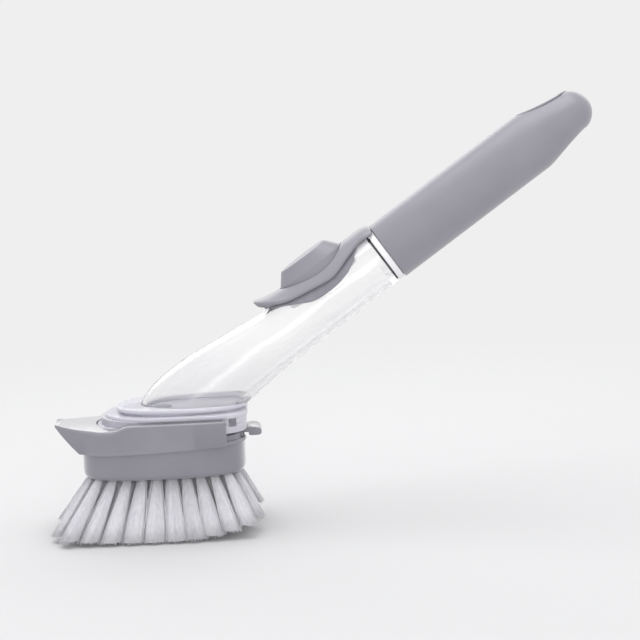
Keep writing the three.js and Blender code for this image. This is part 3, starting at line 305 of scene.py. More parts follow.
def rounded(profile, radius, steps=4, most=0.45):
    """A closed polygon with its corners rounded, by at most a share of the sides next to each."""
    p = np.asarray(profile, float)
    out = []
    for i in range(len(p)):
        before, here, after = p[i - 1], p[i], p[(i + 1) % len(p)]
        d0, d1 = before - here, after - here
        l0, l1 = np.linalg.norm(d0), np.linalg.norm(d1)
        r = min(radius, most * l0, most * l1)
        out += quadratic(here + d0 / l0 * r, here, here + d1 / l1 * r, steps + 1)
    return np.array(out)


def quadratic(a, b, c, count):
    a, b, c = (np.asarray(p, float) for p in (a, b, c))
    return [(1 - t) ** 2 * a + 2 * t * (1 - t) * b + t * t * c for t in np.linspace(0, 1, count)]


def bezier(points, t):
    p = [np.asarray(q, float) for q in points]
    return (1 - t) ** 3 * p[0] + 3 * t * (1 - t) ** 2 * p[1] + 3 * t * t * (1 - t) * p[2] + t ** 3 * p[3]


def spline(points, samples):
    """Uniform Catmull-Rom curve through the points."""
    p = np.asarray(points, float)
    out = []
    for t in np.linspace(0, len(p) - 1, samples):
        i = min(int(t), len(p) - 2)
        w = t - i
        p0, p1, p2, p3 = p[max(i - 1, 0)], p[i], p[i + 1], p[min(i + 2, len(p) - 1)]
        v0, v1 = (p2 - p0) / 2, (p3 - p1) / 2
        cubic, square = 2 * p1 - 2 * p2 + v0 + v1, -3 * p1 + 3 * p2 - 2 * v0 - v1
        out.append(cubic * w ** 3 + square * w ** 2 + v0 * w + p1)
    return np.array(out)


def boolean(obj, operation, others):
    """Joins or cuts obj by the others in turn, which are used up."""
    for other in others:
        for solver in ("MANIFOLD", "EXACT"):
            mod = obj.modifiers.new("cut", "BOOLEAN")
            mod.operation, mod.solver, mod.object = operation, solver, other
            bpy.context.view_layer.update()
            deps = bpy.context.evaluated_depsgraph_get()
            mesh = bpy.data.meshes.new_from_object(obj.evaluated_get(deps))
            obj.modifiers.clear()
            if len(mesh.polygons):
                break
        obj.data = mesh
        bpy.data.objects.remove(other)
    return obj


def cut(obj, *others):
    return boolean(obj, "DIFFERENCE", others)


def join(obj, *others):
    return boolean(obj, "UNION", others)


def keep(obj, other):
    return boolean(obj, "INTERSECT", [other])


def shade(obj, angle, bevel=0.0, clean=True, weld=2e-6, least=1e-6, flat=0.4):
    """Smooth shading with sharp edges kept, after an optional small round on the sharp edges."""
    limit = math.radians(angle)
    with editing(obj) as bm:
        bmesh.ops.remove_doubles(bm, verts=bm.verts, dist=weld)
        if clean:
            bmesh.ops.dissolve_degenerate(bm, edges=bm.edges, dist=least)
            bmesh.ops.dissolve_limit(bm, angle_limit=math.radians(flat), verts=bm.verts, edges=bm.edges)
        if bevel:
            sharp = [e for e in bm.edges if len(e.link_faces) == 2 and e.calc_face_angle(0) > limit]
            bmesh.ops.bevel(
                bm, geom=sharp, offset=bevel * MM, segments=2, profile=0.5,
                affect="EDGES", clamp_overlap=True, offset_type="OFFSET",
            )
        bmesh.ops.recalc_face_normals(bm, faces=bm.faces)
        for f in bm.faces:
            f.smooth = True
        for e in bm.edges:
            e.smooth = e.calc_face_angle(0) < limit
    return obj


def dress(obj, body, slot, material, *nodes):
    obj.data.materials.clear()
    obj.data.materials.append(material)
    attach(obj, body)
    if nodes:
        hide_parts(*nodes)
    return obj


def on_handle(point):
    """A point of a mesh, in metres, on the handle line as (u, y, v)."""
    x, z = point.x / MM - SHIFT - MOUTH_X, point.z / MM - MOUTH_Z
    return x * COS_A + z * SIN_A, point.y / MM, z * COS_A - x * SIN_A


def also(obj, material, chosen):
    """Gives the faces whose centre is chosen another material."""
    obj.data.materials.append(material)
    for face in obj.data.polygons:
        if chosen(face.center):
            face.material_index = len(obj.data.materials) - 1
    return obj


def split(obj, place, along):
    """Edges where a plane of the handle line crosses a mesh, place and direction as (u, y, v)."""
    start, end = handle_points([place, np.add(place, along)]) + np.array([SHIFT, 0, 0])
    with editing(obj) as bm:
        geom = bm.verts[:] + bm.edges[:] + bm.faces[:]
        bmesh.ops.bisect_plane(bm, geom=geom, plane_co=start * MM, plane_no=end - start)
    return obj


def foot_lip_part(point):
    """The lip round the tube's foot."""
    return (FOOT_Z - MARGIN) * MM < point.z < (FOOT_TOP_Z + MARGIN) * MM


def end_part(point):
    """The tube's cloudy end under the bezel."""
    u, _, v = on_handle(point)
    return CLOUD_U < u < SHOULDER_U + 2 * MARGIN and v > CLOUD_V


def groove_shade_paint_part(point):
    """The plinth's flange and neck between the shoe's rails, which take the groove's painted shade."""
    return point.z < (BASE_LIP_Z - 2 * MARGIN) * MM and point.x < (RAIL_REAR_X - GROOVE_END + SHIFT) * MM


def cup_part(point):
    """The diaphragm's cup, inside the tube's wall."""
    _, y, v = on_handle(point)
    return math.hypot(y, v + TUBE_DROP) < RIM_INNER - MARGIN


# Materials

MIX_FACTOR, MIX_A, MIX_B, MIX_RESULT = 0, 6, 7, 2  # sockets of a Mix node for colours


def put(node, values):
    """Sets constants on a node's own sockets."""
    for socket, value in values.items():
        node.inputs[socket].default_value = value
    return node


class Surface:
    """A procedural material round one principled shader."""

    def __init__(self, name):
        self.material = bpy.data.materials.new(name)
        self.material.use_nodes = True
        self.tree = self.material.node_tree
        self.link = self.tree.links.new
        self.shader = self.tree.nodes["Principled BSDF"]
        self.coords = self.node("TexCoord").outputs["Object"]

    def node(self, kind, **values):
        return put(self.tree.nodes.new("ShaderNode" + kind), values)

    def feed(self, socket, output):
        self.link(output, self.shader.inputs[socket])

    def noise(self, scale, detail=3.0, rough=0.5, stretch=None):
        tex = self.node("TexNoise", Scale=scale, Detail=detail, Roughness=rough)
        coords = self.coords
        if stretch:
            mapping = self.node("Mapping", Scale=stretch)
            self.link(coords, mapping.inputs["Vector"])
            coords = mapping.outputs["Vector"]
        self.link(coords, tex.inputs["Vector"])
        return tex.outputs["Fac"]

    def span(self, value, low, high, start=0.25, end=0.75):
        ranged = self.node("MapRange")
        put(ranged, {"From Min": start, "From Max": end, "To Min": low, "To Max": high})
        self.link(value, ranged.inputs["Value"])
        return ranged.outputs["Result"]

    def tint(self, value, color, dark, light):
        """The colour between two shares of itself."""
        mix = self.node("Mix")
        mix.data_type = "RGBA"
        for socket, share in ((MIX_A, dark), (MIX_B, light)):
            mix.inputs[socket].default_value = (*(min(1.0, c * share) for c in color), 1)
        self.link(self.span(value, 0, 1), mix.inputs[MIX_FACTOR])
        return mix.outputs[MIX_RESULT]

    def fading(self, color, axis, places, shares):
        """A colour that goes from one share of itself to another between two places along an axis."""
        parts = self.node("SeparateXYZ")
        self.link(self.coords, parts.inputs["Vector"])
        scaled = self.node("VectorMath")
        scaled.operation = "SCALE"
        self.link(color, scaled.inputs["Vector"])
        start, end = (float(place) * MM for place in places)
        self.link(self.span(parts.outputs[axis], *shares, start, end), scaled.inputs["Scale"])
        return scaled.outputs["Vector"]

    def bump(self, value, strength, distance):
        node = self.node("Bump", Strength=strength, Distance=distance)
        self.link(value, node.inputs["Height"])
        self.feed("Normal", node.outputs["Normal"])

    def blend(self, share, other):
        """Mixes another shader's output into the surface, by a constant or a linked share."""
        mix = self.node("MixShader")
        if isinstance(share, float):
            put(mix, {"Fac": share})
        else:
            self.link(share, mix.inputs["Fac"])
        self.link(self.shader.outputs["BSDF"], mix.inputs[1])
        self.link(other.outputs["BSDF"], mix.inputs[2])
        self.link(mix.outputs["Shader"], self.tree.nodes["Material Output"].inputs["Surface"])


def moulded(name, color, rough, grain=1500.0, relief=0.35, gloss=0.0, haze=0.15):
    """Satin injection-moulded plastic: fine spark-eroded grain and a faint cloudiness."""
    s = Surface(name)
    cloud = s.noise(scale=60.0, detail=2.0)
    fine = s.noise(grain, detail=4.0, rough=0.6)
    s.feed("Base Color", s.tint(cloud, color, dark=0.95, light=1.05))
    s.feed("Roughness", s.span(fine, low=rough - 0.05, high=rough + 0.07))
    s.bump(fine, relief, distance=0.00006)
    put(s.shader, {"IOR": 1.49, "Coat Weight": gloss, "Coat Roughness": haze})
    return s.material


def clear_plastic(name, color, rough, frost, cover=1.0, bend=1.47, relief=0.05, fade=None):
    """Clear moulding with faint flow waves. frost is its share of milky scatter, and a cover below 1
    is a thin wall."""
    s = Surface(name)
    wave = s.noise(scale=45.0, detail=2.0, rough=0.45, stretch=(1.0, 1.6, 1.0))
    fine = s.noise(scale=700.0)
    flow = s.tint(wave, color, dark=0.985, light=1.02)
    # fade darkens the colour along an axis: painted shade
    s.feed("Base Color", s.fading(flow, *fade) if fade else flow)
    s.feed("Roughness", s.span(fine, low=max(0.0, rough - 0.02), high=rough + 0.03))
    s.bump(wave, relief, distance=0.0003)
    put(s.shader, {"IOR": bend, "Transmission Weight": 1.0 - frost, "Alpha": cover})
    return s.material


def rubber(name, color, rough):
    s = Surface(name)
    fine = s.noise(scale=1100.0)
    dust = s.noise(scale=180.0)
    s.feed("Base Color", s.tint(dust, color, dark=0.9, light=1.12))
    s.feed("Roughness", s.span(fine, low=rough - 0.06, high=rough + 0.08))
    s.bump(fine, strength=0.25, distance=0.00008)
    return s.material


def nylon(name, color, glow):
    """Pale bristle filament, streaked along its length. glow is the share of light that it lets through,
    and without it the light scatters inside."""
    s = Surface(name)
    streak = s.noise(scale=900.0, detail=2.0, stretch=(1.0, 1.0, 0.06))
    shade_of = s.tint(streak, color, dark=0.9, light=1.06)
    s.feed("Base Color", shade_of)
    s.feed("Roughness", s.span(streak, low=0.38, high=0.5))
    if glow:
        through = s.node("BsdfTranslucent")
        s.link(shade_of, through.inputs["Color"])
        s.blend(glow, through)
    else:
        even = (1.0, 1.0, 1.0)
        put(s.shader, {"Subsurface Weight": 0.9, "Subsurface Radius": even, "Subsurface Scale": 0.006})
    return s.material


# Painted shade: the tube's colour darkens towards its foot
FOOT_SHADE_PAINT = ("Z", (FOOT_Z, FADE_Z), (0.94, 1.0))
# Painted shade: the plinth's groove between the rails darkens towards the rear
GROOVE_SHADE_PAINT = ("X", np.add(FADE_X, SHIFT), (1.0, 0.66))
LIP_COLOR = (0.77, 0.76, 0.84)
HEAD_COLOR = (0.203, 0.197, 0.227)
TUBE_COLOR = (0.994, 0.99, 1.0)
GREY = moulded("grey_plastic", (0.247, 0.241, 0.276), 0.4, gloss=0.5, haze=0.3)
HEAD_GREY = moulded("head_plastic", HEAD_COLOR, 0.22, grain=1300.0, relief=0.12, gloss=1.0, haze=0.2)
CLEAR = clear_plastic("clear_plastic", (0.95, 0.945, 0.985), 0.05, 0.3, cover=0.35, bend=1.3)
CLEAR_LIP = clear_plastic("clear_foot", LIP_COLOR, 0.08, 0.75, cover=0.8, bend=1.45)
PAINTED_SHADE_GROOVE_PLASTIC = clear_plastic("plinth_painted_shade", LIP_COLOR, 0.05, 0.6, cover=0.85, bend=1.45, fade=GROOVE_SHADE_PAINT)
CLEAR_CUP = clear_plastic("clear_cup", (0.97, 0.96, 0.99), 0.1, 0.5, cover=0.45, bend=1.1, relief=0.02)
CLEAR_BAND = clear_plastic("clear_collar", (0.97, 0.967, 0.99), 0.1, 0.8, relief=0.02)
CLEAR_TUBE = clear_plastic("clear_tube", TUBE_COLOR, 0.08, 0.06, bend=1.33, relief=0.012, fade=FOOT_SHADE_PAINT)
SEAL = rubber("dark_seal", (0.05, 0.05, 0.058), 0.55)
SILICONE = rubber("grey_silicone", (0.235, 0.23, 0.262), 0.5)
PALE_SILICONE = rubber("pale_silicone", (0.66, 0.65, 0.69), 0.45)
WHITE = moulded("white_plastic", (0.7, 0.69, 0.73), 0.4)
NYLON = nylon("bristle_nylon", (0.95, 0.94, 1.0), 0.4)
NYLON_CORE = nylon("bristle_inside", (0.985, 0.98, 1.0), 0.0)


# Handle

def ease_taper(u):
    """Half height and half width of the grip at u."""
    start, end = GRIP_LENGTH - TAPER_LENGTH, GRIP_LENGTH - TAIL_ROUND
    u = np.asarray(u, float)
    t = np.clip((u - start) / (end - start), 0, 1)
    height = lerp(GRIP_RADIUS, TAIL_HALF_HEIGHT, t ** TAPER_POWER)
    width = GRIP_RADIUS + (TAIL_HALF_WIDTH - GRIP_RADIUS) * t * t
    turn = np.clip((u - end) / TAIL_ROUND, 0, 1)
    cap = np.sqrt(np.clip(1 - turn * turn, 0, 1))
    return height * cap, width * cap


def grip():
    """The grip with the collar's socket, a rounded rim, a tapered tail and its hang hole."""
    socket = NECK_RADIUS + SLIDE_GAP + COLLAR_WALL + SEAT_GAP
    depth = COLLAR_DEPTH + SEAT_GAP
    inside = [(depth, SOCKET_CENTRE), (depth, socket)] + [(u, socket + wider) for u, wider in SOCKET_MOUTH]
    rim = []
    for a in np.radians((0, 25, 50, 70, 90)):
        rim.append((GRIP_RIM - GRIP_RIM * math.cos(a), GRIP_RADIUS - GRIP_RIM + GRIP_RIM * math.sin(a)))
    rings = [cross_ring(u, 0, r, r) for u, r in inside + rim]
    taper_start, tail = GRIP_LENGTH - TAPER_LENGTH, GRIP_LENGTH - TAIL_ROUND
    end = tail + TAIL_ROUND * np.sin(np.radians(np.linspace(5, 88, 18)))
    straight, taper = np.linspace(GRIP_START, taper_start, 10), np.linspace(taper_start, tail, 16)[1:]
    for u in np.concatenate([straight, taper, end]):
        h, w = ease_taper(u)
        rings.append(cross_ring(u, 0, float(h), float(w)))
    obj = skin("handle_grip_skin", rings, handle=True)
    return shade(cut(obj, hang_hole_cutter()), angle=28)


def hang_hole_cutter(count=96, least_width=0.1, least_share=0.02):
    """The hang hole with a rounded mouth on both sides of the tail."""
    centre = GRIP_LENGTH - HOLE_MARGIN - HOLE_LENGTH / 2
    a = around(count)
    ca, sa = np.cos(a), np.sin(a)
    normal = unit(np.stack([ca / HOLE_LENGTH, sa / HOLE_WIDTH], 1))
    base = np.stack([HOLE_LENGTH / 2 * ca, HOLE_WIDTH / 2 * sa], 1)
    lip = base + normal * HOLE_ROUND
    h, w = ease_taper(centre + lip[:, 0])
    outside = h * np.sqrt(np.clip(1 - (lip[:, 1] / np.maximum(w, least_width)) ** 2, least_share, 1))
    upper = []
    for angle in np.radians((0, 15, 30, 45, 60, 74)):
        out = base + normal * HOLE_ROUND * (1 - math.cos(angle))
        upper.append((out, outside - HOLE_ROUND + HOLE_ROUND * math.sin(angle)))
    upper.append((lip + normal * HOLE_FLARE, outside + HOLE_OVER))
    upper.append((lip + normal * HOLE_FLARE, np.full(count, HOLE_REACH)))
    levels = [(p, -v) for p, v in upper[::-1]] + upper
    return skin("hole_cutter", [np.stack([centre + p[:, 0], p[:, 1], v], 1) for p, v in levels], handle=True)


def collar():
    bore = NECK_RADIUS + SLIDE_GAP
    outer, band = bore + COLLAR_WALL, GRIP_RADIUS - COLLAR_INSET
    start, floor_u = -COLLAR_BAND - SEAT_GAP, COLLAR_DEPTH - COLLAR_FLOOR
    profile = [
        (COLLAR_CENTRE, COLLAR_DEPTH), (COLLAR_CENTRE, floor_u), (bore, floor_u), (bore, start),
        (band, start), (band, -SEAT_GAP), (outer, -SEAT_GAP), (outer, COLLAR_DEPTH),
    ]
    return shade(revolve_handle("clear_collar", rounded(profile, COLLAR_EDGE, 3)), angle=40)


def seal():
    inner, outer = NECK_RADIUS + SLIDE_GAP, TUBE_RADIUS - TUBE_DROP
    top = SEAL_U + SEAL_THICKNESS
    profile = [(inner, SEAL_U), (outer, SEAL_U), (outer, top), (inner, top)]
    return shade(revolve_handle("mouth_seal_ring", rounded(profile, SEAL_EDGE, 3)), angle=50)


# Reservoir

def tube_form(name, wall, start_u, front_x, rear_x, count=144, straight=8, steps=30):
    """The tube at a wall's depth: straight under the handle, then swept to the oval foot."""
    radius = TUBE_RADIUS - wall
    along = np.array([-COS_A, 0, -SIN_A])
    upper = handle_point(STRAIGHT_END_U, radius - TUBE_DROP)
    lower = handle_point(STRAIGHT_END_U, -radius - TUBE_DROP)
    front, rear = np.array([front_x, 0, FOOT_TOP_Z]), np.array([rear_x, 0, FOOT_TOP_Z])
    reach, heel = np.linalg.norm(upper - front), np.linalg.norm(lower - rear)
    lean = np.array([math.cos(HEEL_ANGLE), 0, math.sin(HEEL_ANGLE)])
    top = (upper, upper + along * reach / 2 + BELLY, front + INSTEP, front)
    bottom = (lower, lower + along * heel / 3, rear + lean * heel / 4, rear)
    side, up = (0, 1, 0), handle_point(0, 1) - handle_point(0, 0)
    a = around(count)
    rings = []
    for u in np.linspace(start_u, STRAIGHT_END_U, straight):
        centre = handle_point(u, -TUBE_DROP)
        rings.append(centre + np.outer(np.cos(a) * radius, side) + np.outer(np.sin(a) * radius, up))
    for i in range(1, steps + 1):
        t = i / steps
        p, q = bezier(top, t), bezier(bottom, t)
        width = TUBE_RADIUS + (FOOT_HALF_WIDTH - TUBE_RADIUS) * t * t * (3 - 2 * t) - wall
        rings.append((p + q) / 2 + np.outer(np.cos(a) * width, side) + np.outer(np.sin(a), (p - q) / 2))
    return skin(name, rings)


def foot_rings(inset_levels, count=160):
    """Rings of the foot lip's plan at (inset, height) pairs."""
    front, rear = FOOT_FRONT_X - FOOT_LIP_FRONT, FOOT_LIP_REAR_X
    middle, half, wide = (front + rear) / 2, (rear - front) / 2, FOOT_LIP_HALF_WIDTH
    return [flat_ring(middle, z, half - i, wide - i, FOOT_SQUARENESS, count) for i, z in inset_levels]


def soft_edge(low, high, radius, steps=4):
    """(inset, height) pairs of an edge rounded at the bottom and the top."""
    a = np.linspace(0, math.pi / 2, steps + 1)
    bottom = [(radius * (1 - math.sin(t)), low + radius * (1 - math.cos(t))) for t in a]
    top = [(radius * (1 - math.cos(t)), high - radius + radius * math.sin(t)) for t in a]
    return bottom + top


def rod(radius, low, high, v=0):
    """A round rod along the handle line."""
    return skin("rod", [cross_ring(u, v, radius, radius) for u in (low, high)], handle=True)


def button_ring(v, half_length, half_width, count=160):
    """Ring of the button and of what fits round it, fuller towards the grip."""
    ring = flat_ring(BUTTON_U, v, half_length, half_width, count=count)
    ring[:, 1] *= 1 + BUTTON_EGG * (ring[:, 0] - BUTTON_U) / half_length
    return ring


def button_prism(half_length, half_width, low, high):
    return skin("prism", [button_ring(v, half_length, half_width) for v in (low, high)], handle=True)


def tube():
    """The reservoir with its foot lip and neck, open at the foot, the neck and the button."""
    neck_top, neck_root = SHOULDER_U + NECK_LENGTH, SHOULDER_U - SHOULDER_WALL
    front, rear = FOOT_FRONT_X + TUBE_WALL, FOOT_REAR_X - HEEL_WALL
    middle, half = (front + rear) / 2, (rear - front) / 2
    obj = tube_form("reservoir_shell", 0, SHOULDER_U, FOOT_FRONT_X, FOOT_REAR_X)
    join(
        obj,
        skin("lip", foot_rings(soft_edge(FOOT_Z, FOOT_TOP_Z, FOOT_LIP_EDGE))),
        rod(NECK_RADIUS, neck_root, neck_top),
    )
    wide = FOOT_HALF_WIDTH - TUBE_WALL
    throat = [flat_ring(middle, z, half, wide) for z in (FOOT_Z - OVERCUT, FOOT_TOP_Z)]
    length, width = CUP_HALF_LENGTH + SEAT_GAP, CUP_HALF_WIDTH + SEAT_GAP
    cut(
        obj,
        tube_form("hollow", TUBE_WALL, neck_root, front, rear),
        skin("throat", throat),
        rod(NECK_RADIUS - NECK_WALL, neck_root - SHOULDER_WALL, neck_top + OVERCUT),
        button_prism(length, width, CUP_FLOOR_V - 4 * OVERCUT, 2 * TUBE_RADIUS),
    )
    shade(obj, angle=35)
    split(obj, (CLOUD_U, 0, 0), (1, 0, 0))
    return split(obj, (0, 0, CLOUD_V), (0, 0, 1))


def neck_thread(per_turn=72):
    """Thread in the clearance between the neck and the collar, fading at both ends."""
    steps = THREAD_TURNS * per_turn
    parts = []
    for s in range(THREAD_STARTS):
        rings = []
        for k in range(int(steps) + 1):
            a = 2 * math.pi * (k / per_turn + s / THREAD_STARTS)
            fade = min(1.0, k / THREAD_FADE, (steps - k) / THREAD_FADE)
            ring = []
            for rise, along in THREAD_SECTION:
                r = NECK_RADIUS + (rise if rise < 0 else rise * fade)
                u = THREAD_START_U + THREAD_LEAD * k / per_turn + along
                ring.append((u, r * math.cos(a), r * math.sin(a)))
            rings.append(ring)
        parts.append(loft(rings))
    return shade(make("neck_thread", *gather(parts), handle=True), angle=50, clean=False)


# Button, bezel and diaphragm

def saddle_ring(u, half_width, inner, outer, across=40, edge=6, widest=0.97):
    """A strip of the tube's wall at u, with a full round along both edges."""
    r = (outer - inner) / 2
    mid = (outer + inner) / 2
    reach = math.asin(max(0.0, min(widest, (half_width - r) / mid))) if half_width > r else 0.0
    turns = np.linspace(0, math.pi, edge + 2)[1:-1]

    def arc(radius, start, end):
        return [(radius * math.sin(phi), radius * math.cos(phi)) for phi in np.linspace(start, end, across)]

    def end_round(a):
        d = mid + r * math.cos(a)
        out = r * math.sin(a) * min(1.0, half_width / r)
        return d * math.sin(reach) + out * math.cos(reach), d * math.cos(reach) - out * math.sin(reach)

    right = [end_round(a) for a in turns]
    left = [(-y, v) for y, v in right[::-1]]
    ring = arc(outer, -reach, reach) + right + arc(inner, reach, -reach) + left
    return [(u, y, v - TUBE_DROP) for y, v in ring]


def bezel(least_width=0.5, samples=150):
    """Saddle round the tube that lifts into a visor at its front and rolls down at its rear."""
    tip, rear = BUTTON_U - VISOR_REACH, -SEAT_GAP
    front, end = BUTTON_U - BUTTON_HALF_LENGTH, BUTTON_U + BUTTON_HALF_LENGTH
    visor, full, neck = VISOR_HALF_WIDTH, BEZEL_HALF_WIDTH, BEZEL_NECK_HALF_WIDTH
    outline = [
        (tip, 0.4), (tip + VISOR_EDGE, visor * 0.55), ((tip + front) / 2, visor), (front, full * 0.88),
        (lerp(front, end, 0.4), full * 1.03), (lerp(front, end, 0.7), full * 1.07), (end, neck * 1.2),
        (lerp(end, rear, 0.45), neck), (rear - BEZEL_CORNER, neck), (rear, neck * 0.86),
    ]
    rings = []
    for u, width in spline(outline, samples):
        lift = 1 - np.clip((u - tip) / (front + VISOR_RISE - tip), 0, 1)
        s = np.clip(1 - (rear - u) / BEZEL_ROLL, 0, 1)
        roll = (BEZEL_THICKNESS - BEZEL_EDGE) * (1 - math.sqrt(1 - s * s))
        outer = BEZEL_OUTER + VISOR_RISE * lift ** 2 - roll
        under = np.clip((u - tip) / (VISOR_UNDERCUT * VISOR_EDGE), 0, 1)
        inner = lerp(outer - VISOR_THICKNESS, BEZEL_INNER, under)
        near_tip = np.clip((u - tip) / VISOR_EDGE, 0, 1)
        half = (outer - inner) / 2 * math.sqrt(max(LEAST_EDGE, 1 - (1 - near_tip) ** 2))
        mid = (outer + inner) / 2
        rings.append(saddle_ring(u, max(width, least_width), mid - half, mid + half))
    obj = skin("bezel_skin", rings, handle=True)
    length, width = BUTTON_HALF_LENGTH + SLIDE_GAP, BUTTON_HALF_WIDTH + SLIDE_GAP
    return shade(cut(obj, button_prism(length, width, CUTTER_LOW_V, CUTTER_HIGH_V)), angle=34)


def button(steps=6):
    """The hollow button, from the inside of its top round its foot to the outside."""
    bottom, wall, edge = BUTTON_TOP_V - BUTTON_DEPTH, BUTTON_WALL, BUTTON_FOOT_EDGE
    length, width, waist = BUTTON_HALF_LENGTH, BUTTON_HALF_WIDTH, BUTTON_HALF_WIDTH - BUTTON_DRAFT
    top_length, top_width = BUTTON_TOP_HALF_LENGTH, BUTTON_TOP_HALF_WIDTH
    levels = [
        (*BUTTON_CEILING, BUTTON_TOP_V - wall), (top_length - wall, top_width - wall, BUTTON_TOP_V - wall),
        (length - wall, width - wall - BUTTON_DRAFT, BUTTON_SHOULDER_V - wall),
        (length - wall, width - wall, bottom + edge), (length - wall + edge, width - wall + edge, bottom),
        (length - edge, width - edge, bottom), (length, width, bottom + edge),
    ]
    corners = [
        (length, width, bottom + BUTTON_FOOT), (length, waist, BUTTON_SHOULDER_V),
        (top_length + BUTTON_TOP_GROW, top_width + BUTTON_TOP_GROW, BUTTON_TOP_V), (0.0, 0.0, BUTTON_TOP_V),
    ]
    per_corner = steps + 1
    levels += list(rounded(corners, BUTTON_EDGE, steps)[per_corner:3 * per_corner])
    levels += [(*flat, BUTTON_TOP_V) for flat in BUTTON_FLATS]
    rings = [button_ring(v, half_length, half_width) for half_length, half_width, v in levels]
    return shade(skin("button_skin", rings, handle=True), angle=40, clean=False)


def diaphragm(least_width=0.3, beyond=5, samples=120):
    """Gasket rim clamped under the bezel, and the cup below the button."""
    middle, full, sheet = BUTTON_U, DIAPHRAGM_HALF_WIDTH, DIAPHRAGM_SHEET
    front = middle - CUP_HALF_LENGTH - DIAPHRAGM_RIM - DIAPHRAGM_TONGUE
    end = middle + CUP_HALF_LENGTH + DIAPHRAGM_RIM
    outline = [
        (front, least_width), (front + 0.8, 0.2 * full), (front + 3.6, 0.5 * full),
        (middle - CUP_HALF_LENGTH, 0.7 * full), (middle - BUTTON_HALF_LENGTH + 2.6, 0.86 * full),
        (middle - BUTTON_HALF_LENGTH / 2, 0.975 * full), (middle, full),
        (middle + BUTTON_HALF_LENGTH / 2, 0.98 * full), (middle + CUP_HALF_LENGTH - 4.6, 0.9 * full),
        (end - 1.6, 0.62 * full), (end, 0.2 * full),
    ]
    plan = spline(outline, samples)
    rings = [saddle_ring(u, max(least_width, w), RIM_INNER, RIM_OUTER) for u, w in plan]
    obj = skin("diaphragm_skin", rings, handle=True)
    cup_length = BUTTON_HALF_LENGTH + SLIDE_GAP + sheet
    length, width = cup_length - sheet, CUP_HALF_WIDTH - sheet
    cut(obj, button_prism(length, width, CUTTER_LOW_V, CUTTER_HIGH_V))
    foot = CUP_FLOOR_V - sheet
    levels = [(foot + rise, grow) for rise, grow in CUP_EDGE] + [(CUP_TOP_V, 0)]
    outer = [button_ring(v, cup_length + grow, CUP_HALF_WIDTH + grow) for v, grow in levels]
    cup = cut(skin("cup", outer, handle=True), button_prism(length, width, CUP_FLOOR_V, CUTTER_HIGH_V))
    keep(cup, rod(RIM_OUTER - CUP_OVERLAP, front - beyond, end + beyond, -TUBE_DROP))
    return shade(join(obj, cup), angle=40)


# Base plate and outlet

def rounded_plan(front_x, rear_x, half_width, corner, steps=24):
    """A plan with a round front and rounded rear corners."""
    front = min(half_width, (rear_x - front_x - corner) / 2)
    points = []
    for start, centre in ((-math.pi / 2, -half_width + corner), (0, half_width - corner)):
        for a in np.linspace(start, start + math.pi / 2, steps):
            points.append((rear_x - corner + corner * math.cos(a), centre + corner * math.sin(a)))
    for a in np.linspace(math.pi / 2, 1.5 * math.pi, 3 * steps):
        points.append((front_x + front + front * math.cos(a), half_width * math.sin(a)))
    return np.array(points)


def inset_plan(points, inset):
    """The plan moved in along its own normals."""
    tangent = np.roll(points, -1, 0) - np.roll(points, 1, 0)
    tangent /= np.maximum(np.linalg.norm(tangent, axis=1), 1e-9)[:, None]
    normal = np.stack([tangent[:, 1], -tangent[:, 0]], 1)
    return points - normal * inset


def at_height(plan, z):
    return np.column_stack([plan, np.full(len(plan), z)])


def plate(name, plan, low, high, edge):
    return skin(name, [at_height(inset_plan(plan, i), z) for i, z in soft_edge(low, high, edge)])


def raised(plan, low, high):
    return skin("raised", [at_height(plan, z) for z in (low, high)])


def cylinder(low, high, radius, count=96):
    """A round bore at the outlet."""
    return skin("bore", [flat_ring(OUTLET_X, z, radius, radius, count=count) for z in (low, high)])


def box(x0, x1, half_width, low, high):
    return raised([(x0, -half_width), (x1, -half_width), (x1, half_width), (x0, half_width)], low, high)


def base():
    """The lip under the foot, with its weld step above and its neck and flange below."""
    groove_front = (BASE_LIP_FRONT_X + PLINTH_FRONT_X) / 2
    lip = rounded_plan(BASE_LIP_FRONT_X, BASE_LIP_REAR_X, BASE_LIP_HALF_WIDTH, PLINTH_CORNER)
    groove = rounded_plan(groove_front, PLINTH_REAR_X, GROOVE_HALF_WIDTH, PLINTH_CORNER)
    flange = rounded_plan(PLINTH_FRONT_X, PLINTH_REAR_X, PLINTH_HALF_WIDTH, PLINTH_CORNER)
    obj = plate("base_plate_skin", lip, BASE_LIP_Z, WELD_Z, BASE_LIP_EDGE)
    join(
        obj,
        plate("groove", groove, PLINTH_Z + BASE_OVERLAP, BASE_LIP_Z + GROOVE_OVERLAP, GROOVE_EDGE),
        plate("flange", flange, PLINTH_Z, PLINTH_Z + PLINTH_FLANGE, FLANGE_EDGE),
        skin("weld", foot_rings([(WELD_INSET, WELD_Z - BASE_OVERLAP), (WELD_INSET, FOOT_Z)])),
    )
    notch = (CATCH_X - SLIDE_GAP, CATCH_X + CATCH_LENGTH + SLIDE_GAP, TAB_HALF_WIDTH + SLIDE_GAP)
    cut(
        obj,
        cylinder(PLINTH_Z, FOOT_Z + OVERCUT, OUTLET_RADIUS),
        cylinder(PLINTH_Z - OVERCUT, PLINTH_Z + VALVE_SEAT_DEPTH, VALVE_SEAT_RADIUS),
        box(*notch, PLINTH_Z - OVERCUT, NOTCH_TOP_Z),
        box(*WINDOW_X, 2 * PLINTH_HALF_WIDTH, *WINDOW_Z),
    )
    return shade(obj, angle=35)


def valve():
    top = VALVE_SEAT_DEPTH - SEAT_GAP
    bottom = top - VALVE_SHEET
    rim, r, edge = VALVE_SEAT_RADIUS - SLIDE_GAP, VALVE_DOME_RADIUS, VALVE_EDGE
    dome = [(r * s, bottom - r / 2 * (1 - s * s)) for s in VALVE_SHARES]
    inner = [(r * VALVE_THINNING * s, top - r / 2 * (1 - s * s)) for s in VALVE_SHARES[::-1]]
    side = [(rim - edge, bottom), (rim, bottom + edge), (rim, top - edge), (rim - edge, top)]
    return shade(revolve_outlet("outlet_valve_disc", dome + side + inner), angle=40, clean=False)


